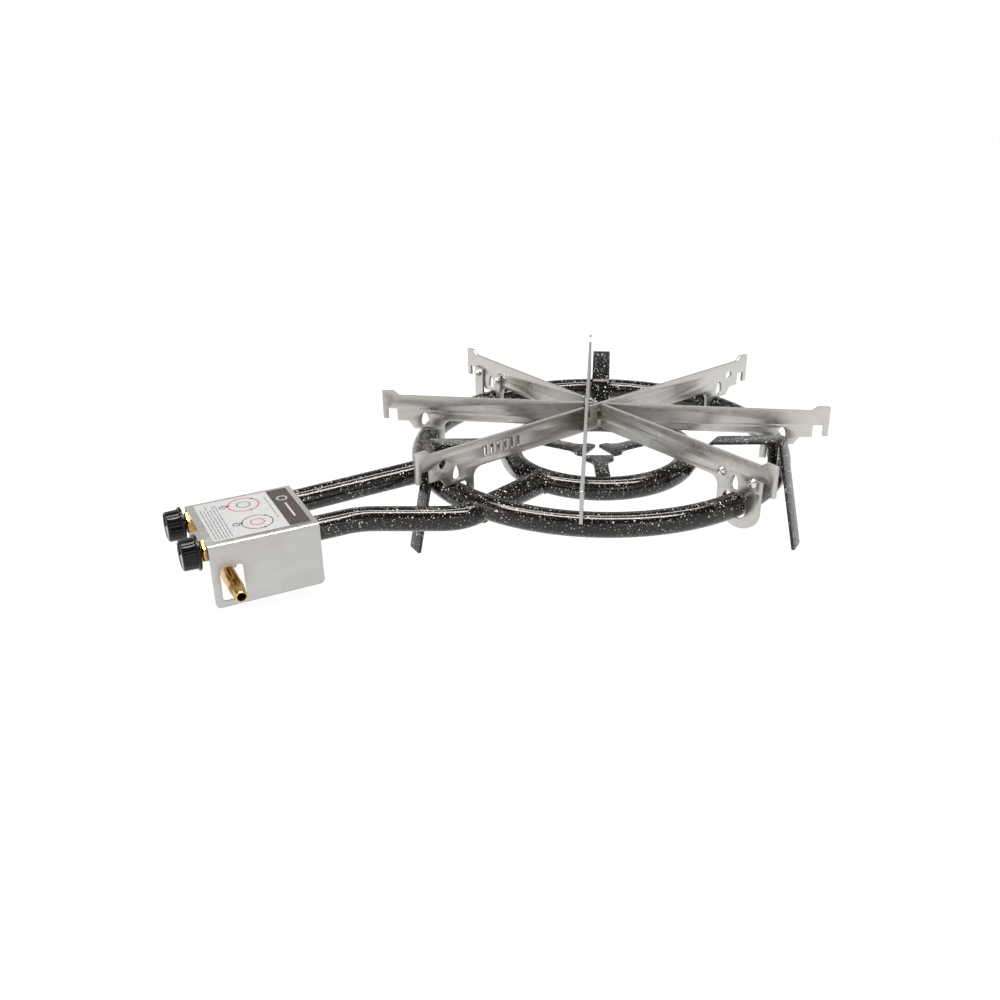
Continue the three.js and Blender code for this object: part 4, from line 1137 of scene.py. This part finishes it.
# ------------------------------------------------------------------ knobs
def knob(which, y):
    x_back = KNOB_BACK
    L = KNOB_LEN
    start = (x_back, y, TAP_Z)
    d = (-1, 0, 0)
    # (radius, distance from the back, flute strength)
    rows = [(3.6, 10.0, 0), (3.6, 0.4, 0), (4.0, 0.0, 0), (14.8, 0.0, 0), (16.0, 0.15, 0), (16.5, 0.6, 0), (16.6, 1.2, 0), (16.55, 2.0, 0), (16.1, 2.6, 0), (15.4, 2.95, 0.2),
            (14.75, 3.3, 0.9), (14.6, 4.2, 1), (14.5, 7, 1), (14.4, 10, 1), (14.3, 13.5, 1), (14.15, 14.6, 1), (13.7, 15.4, 0.9), (12.9, 15.85, 0.6), (12.0, L, 0.2), (11.2, L - 0.15, 0), (10.6, L - 0.5, 0), (9.8, L - 0.75, 0), (4.0, L - 0.8, 0), (0, L - 0.8, 0)]
    strength = [r[2] for r in rows]

    def radial(a, idx):
        s = strength[idx]
        if s <= 0:
            return 1.0
        # twelve rounded lobes with narrow grooves between them
        g = abs(math.sin(6 * a))
        return 1.0 - s * 0.022 * (1 - g) ** 3.0
    V, F = lathe([(r, h) for r, h, _ in rows] + [], start, d, 192, radial)
    # closed bore end
    o = len(V)
    parts = [(V, F)]
    prof_end = [(0, 10.0), (3.6, 10.0)]
    parts.append(lathe(prof_end, start, d, 192))
    V, F = join_parts(parts)
    ob = add_mesh("knob_%s_body" % which, V, F, PLASTIC, 32)
    piece(ob, which + "_knob", ["knob_" + which])
    # raised pointer rib across the front
    xf = x_back - L + 0.2
    rib = soften([(-1.5, 1.5), (1.5, 1.5), (1.1, 13.2), (-1.1, 13.2)], 0.6)
    m = Matrix(((0, 0, -1, xf - 0.3), (1, 0, 0, y), (0, 1, 0, TAP_Z), (0, 0, 0, 1)))
    ob = plate("knob_%s_pointer" % which, rib, 1.6, m, PLASTIC, bevel=0.35, res=2)
    piece(ob, which + "_knob")
    # white line on the rib and dots round the face
    line = soften([(-0.45, 5.0), (0.45, 5.0), (0.45, 12.4), (-0.45, 12.4)], 0.2)
    m = Matrix(((0, 0, -1, xf - 1.12), (1, 0, 0, y), (0, 1, 0, TAP_Z), (0, 0, 0, 1)))
    ob = plate("knob_%s_line" % which, line, 0.08, m, MARK, bevel=0.02, res=0)
    piece(ob, which + "_knob")
    loops = []
    V, F = [], []
    for k, (deg, rad) in enumerate(((200, 0.75), (225, 0.95), (250, 1.15), (275, 1.35))):
        t = math.radians(deg)
        cy, cz = y + 7.3 * math.cos(t), TAP_Z + 7.3 * math.sin(t)
        v, f = lathe([(0, -0.03), (rad, -0.03), (rad, 0.05), (0, 0.05)], (x_back - L + 0.8, cy, cz), (-1, 0, 0), 20)
        n = len(V)
        V += v
        F += [tuple(i + n for i in q) for q in f]
    ob = add_mesh("knob_%s_dots" % which, V, F, MARK, 40)
    piece(ob, which + "_knob")
    refined("spindle_" + which, ZINC, 0.3, 2, 35, which + "_knob")


for which, y in TAP_Y.items():
    knob(which, y)
    refined("tap_body_" + which, BRASS, 0.7, 3, 35)
    refined("jet_" + which, BRASS_TURNED, 0.15, 2, 50)
    V, F = hex_nut((BOX_X - 54.2, y, TAP_Z), (1, 0, 0), 19.0, 9.0, 7.25, 0.0, 96)
    piece(add_mesh("gland_hex_" + which, V, F, BRASS, 26), "burner", ["gland_nut_" + which])
refined("gas_rail", BRASS, 0.5, 3, 35)
refined("rail_plug", BRASS_TURNED, 0.2, 2, 50)
refined("inlet_elbow", BRASS, 0.9, 3, 35)
refined("carrier_plate", ZINC, 0.25, 2, 40)

NL = NIPPLE_LEN
prof = [(3.6, 0), (7.0, 0), (7.0, 8.0), (6.75, 8.6), (6.75, 9.6), (7.0, 10.2), (7.0, NL - 18.5), (6.92, NL - 17.5), (5.5, NL - 2.4), (5.32, NL - 1.2), (5.05, NL - 0.3), (4.75, NL), (4.15, NL - 0.1), (3.85, NL - 0.9), (3.6, NL - 4), (3.6, 0)]
V, F = lathe(prof, (RAIL_X, -6.9, -34), (0, -1, 0), 56)
piece(add_mesh("hose_nipple_turned", V, F, BRASS_TURNED, 30), "burner", ["hose_nipple"])
V, F = hex_nut((RAIL_X, -6.9, -34), (0, -1, 0), 17.0, 4.2, 7.2, 0.0, 96)
piece(add_mesh("nipple_hex", V, F, BRASS, 26), "burner", ["nipple_nut"])

# ------------------------------------------------------------------ camera
CAM_FIT = Vector((0.0, -1055.97, 433.18))
YAW, PITCH, ROLL, OBJ_AZ = (math.radians(v) for v in (-5.793, 25.213, -0.942, 32.3))
fwd = Vector((math.sin(YAW) * math.cos(PITCH), math.cos(YAW) * math.cos(PITCH), -math.sin(PITCH)))
right = Vector((math.cos(YAW), -math.sin(YAW), 0))
up = right.cross(fwd)
r2 = right * math.cos(ROLL) + up * math.sin(ROLL)
u2 = up * math.cos(ROLL) - right * math.sin(ROLL)
turn = Matrix.Rotation(-OBJ_AZ, 3, "Z")
cam_pos = turn @ CAM_FIT
fwd, r2, u2 = turn @ fwd, turn @ r2, turn @ u2
cam_data = bpy.data.cameras.new("camera")
cam_data.lens = 1058.98 * 36.0 / 1000.0
cam_data.sensor_width = 36.0
cam_data.sensor_fit = "HORIZONTAL"
cam_data.clip_start = 0.01
cam_data.clip_end = 60
cam = bpy.data.objects.new("camera", cam_data)
bpy.context.scene.collection.objects.link(cam)
m = Matrix.Identity(4)
for i in range(3):
    m[i][0], m[i][1], m[i][2] = r2[i], u2[i], -fwd[i]
p = O(*cam_pos)
m[0][3], m[1][3], m[2][3] = p.x, p.y, p.z
cam.matrix_world = m
bpy.context.scene.camera = cam

# ------------------------------------------------------------------ floor, backdrop, light
def floor_material():
    mt, nt, b = new_mat("studio_floor")
    vec = mapping(nt)
    g = noise(nt, vec, 3, 2, 0.5)
    link(nt, ramp(nt, g, [(0.3, (0.12, 0.12, 0.12)), (0.7, (0.13, 0.13, 0.13))]), b.inputs["Base Color"])
    b.inputs["Roughness"].default_value = 0.9
    b.inputs["Specular IOR Level"].default_value = 0.1
    b.inputs["Emission Color"].default_value = (1, 1, 1, 1)
    b.inputs["Emission Strength"].default_value = 0.93
    return mt


bm = bmesh.new()
bmesh.ops.create_grid(bm, x_segments=2, y_segments=2, size=9.0)
me = bpy.data.meshes.new("studio_floor")
bm.to_mesh(me)
bm.free()
me.materials.append(floor_material())
floor = bpy.data.objects.new("studio_floor", me)
bpy.context.scene.collection.objects.link(floor)
floor.location = (0, 0, -0.0006)

world = bpy.data.worlds.new("studio")
bpy.context.scene.world = world
world.use_nodes = True
wn = world.node_tree
wn.nodes.clear()
wo = wn.nodes.new("ShaderNodeOutputWorld")
bg = wn.nodes.new("ShaderNodeBackground")
tc = wn.nodes.new("ShaderNodeTexCoord")
sx = wn.nodes.new("ShaderNodeSeparateXYZ")
wr_ = wn.nodes.new("ShaderNodeValToRGB")
wr_.color_ramp.elements[0].position = 0.0
wr_.color_ramp.elements[0].color = (1.0, 1.0, 1.0, 1)
wr_.color_ramp.elements[1].position = 1.0
wr_.color_ramp.elements[1].color = (0.03, 0.03, 0.03, 1)
for pos_, val_ in ((0.06, 1.0), (0.45, 0.70), (0.66, 0.10)):
    el = wr_.color_ramp.elements.new(pos_)
    el.color = (val_, val_, val_, 1)
wn.links.new(tc.outputs["Generated"], sx.inputs[0])
wn.links.new(sx.outputs[2], wr_.inputs[0])
wn.links.new(wr_.outputs[0], bg.inputs[0])
bg.inputs[1].default_value = 1.08
wn.links.new(bg.outputs[0], wo.inputs[0])


def area(name, loc, target, sx_, sy_, power, color=(1, 1, 1)):
    l = bpy.data.lights.new(name, "AREA")
    l.shape = "RECTANGLE"
    l.size, l.size_y = sx_, sy_
    l.energy = power
    l.color = color
    o = bpy.data.objects.new(name, l)
    bpy.context.scene.collection.objects.link(o)
    o.location = loc
    o.rotation_euler = (Vector(target) - Vector(loc)).to_track_quat("-Z", "Y").to_euler()
    return o


cam_dir = Vector((fwd.x, fwd.y, 0)).normalized()
side_dir = Vector((r2.x, r2.y, 0)).normalized()
centre = Vector((SHIFT_X / 1000 - 0.06, 0, 0.06))


def at(f, s, z):
    v = centre + cam_dir * f + side_dir * s
    return (v.x, v.y, z)


area("strip_top_near", at(-0.30, -0.05, 1.45), centre, 1.9, 0.24, 38)
area("strip_top_far", at(0.30, -0.05, 1.50), centre, 1.9, 0.18, 18)
area("fill_left", at(-0.6, -1.6, 0.8), centre, 0.7, 0.5, 2)
area("fill_front", at(-1.8, 0.7, 0.9), centre, 1.0, 0.5, 2)

bpy.context.scene.view_settings.view_transform = "Standard"
bpy.context.scene.view_settings.look = "None"
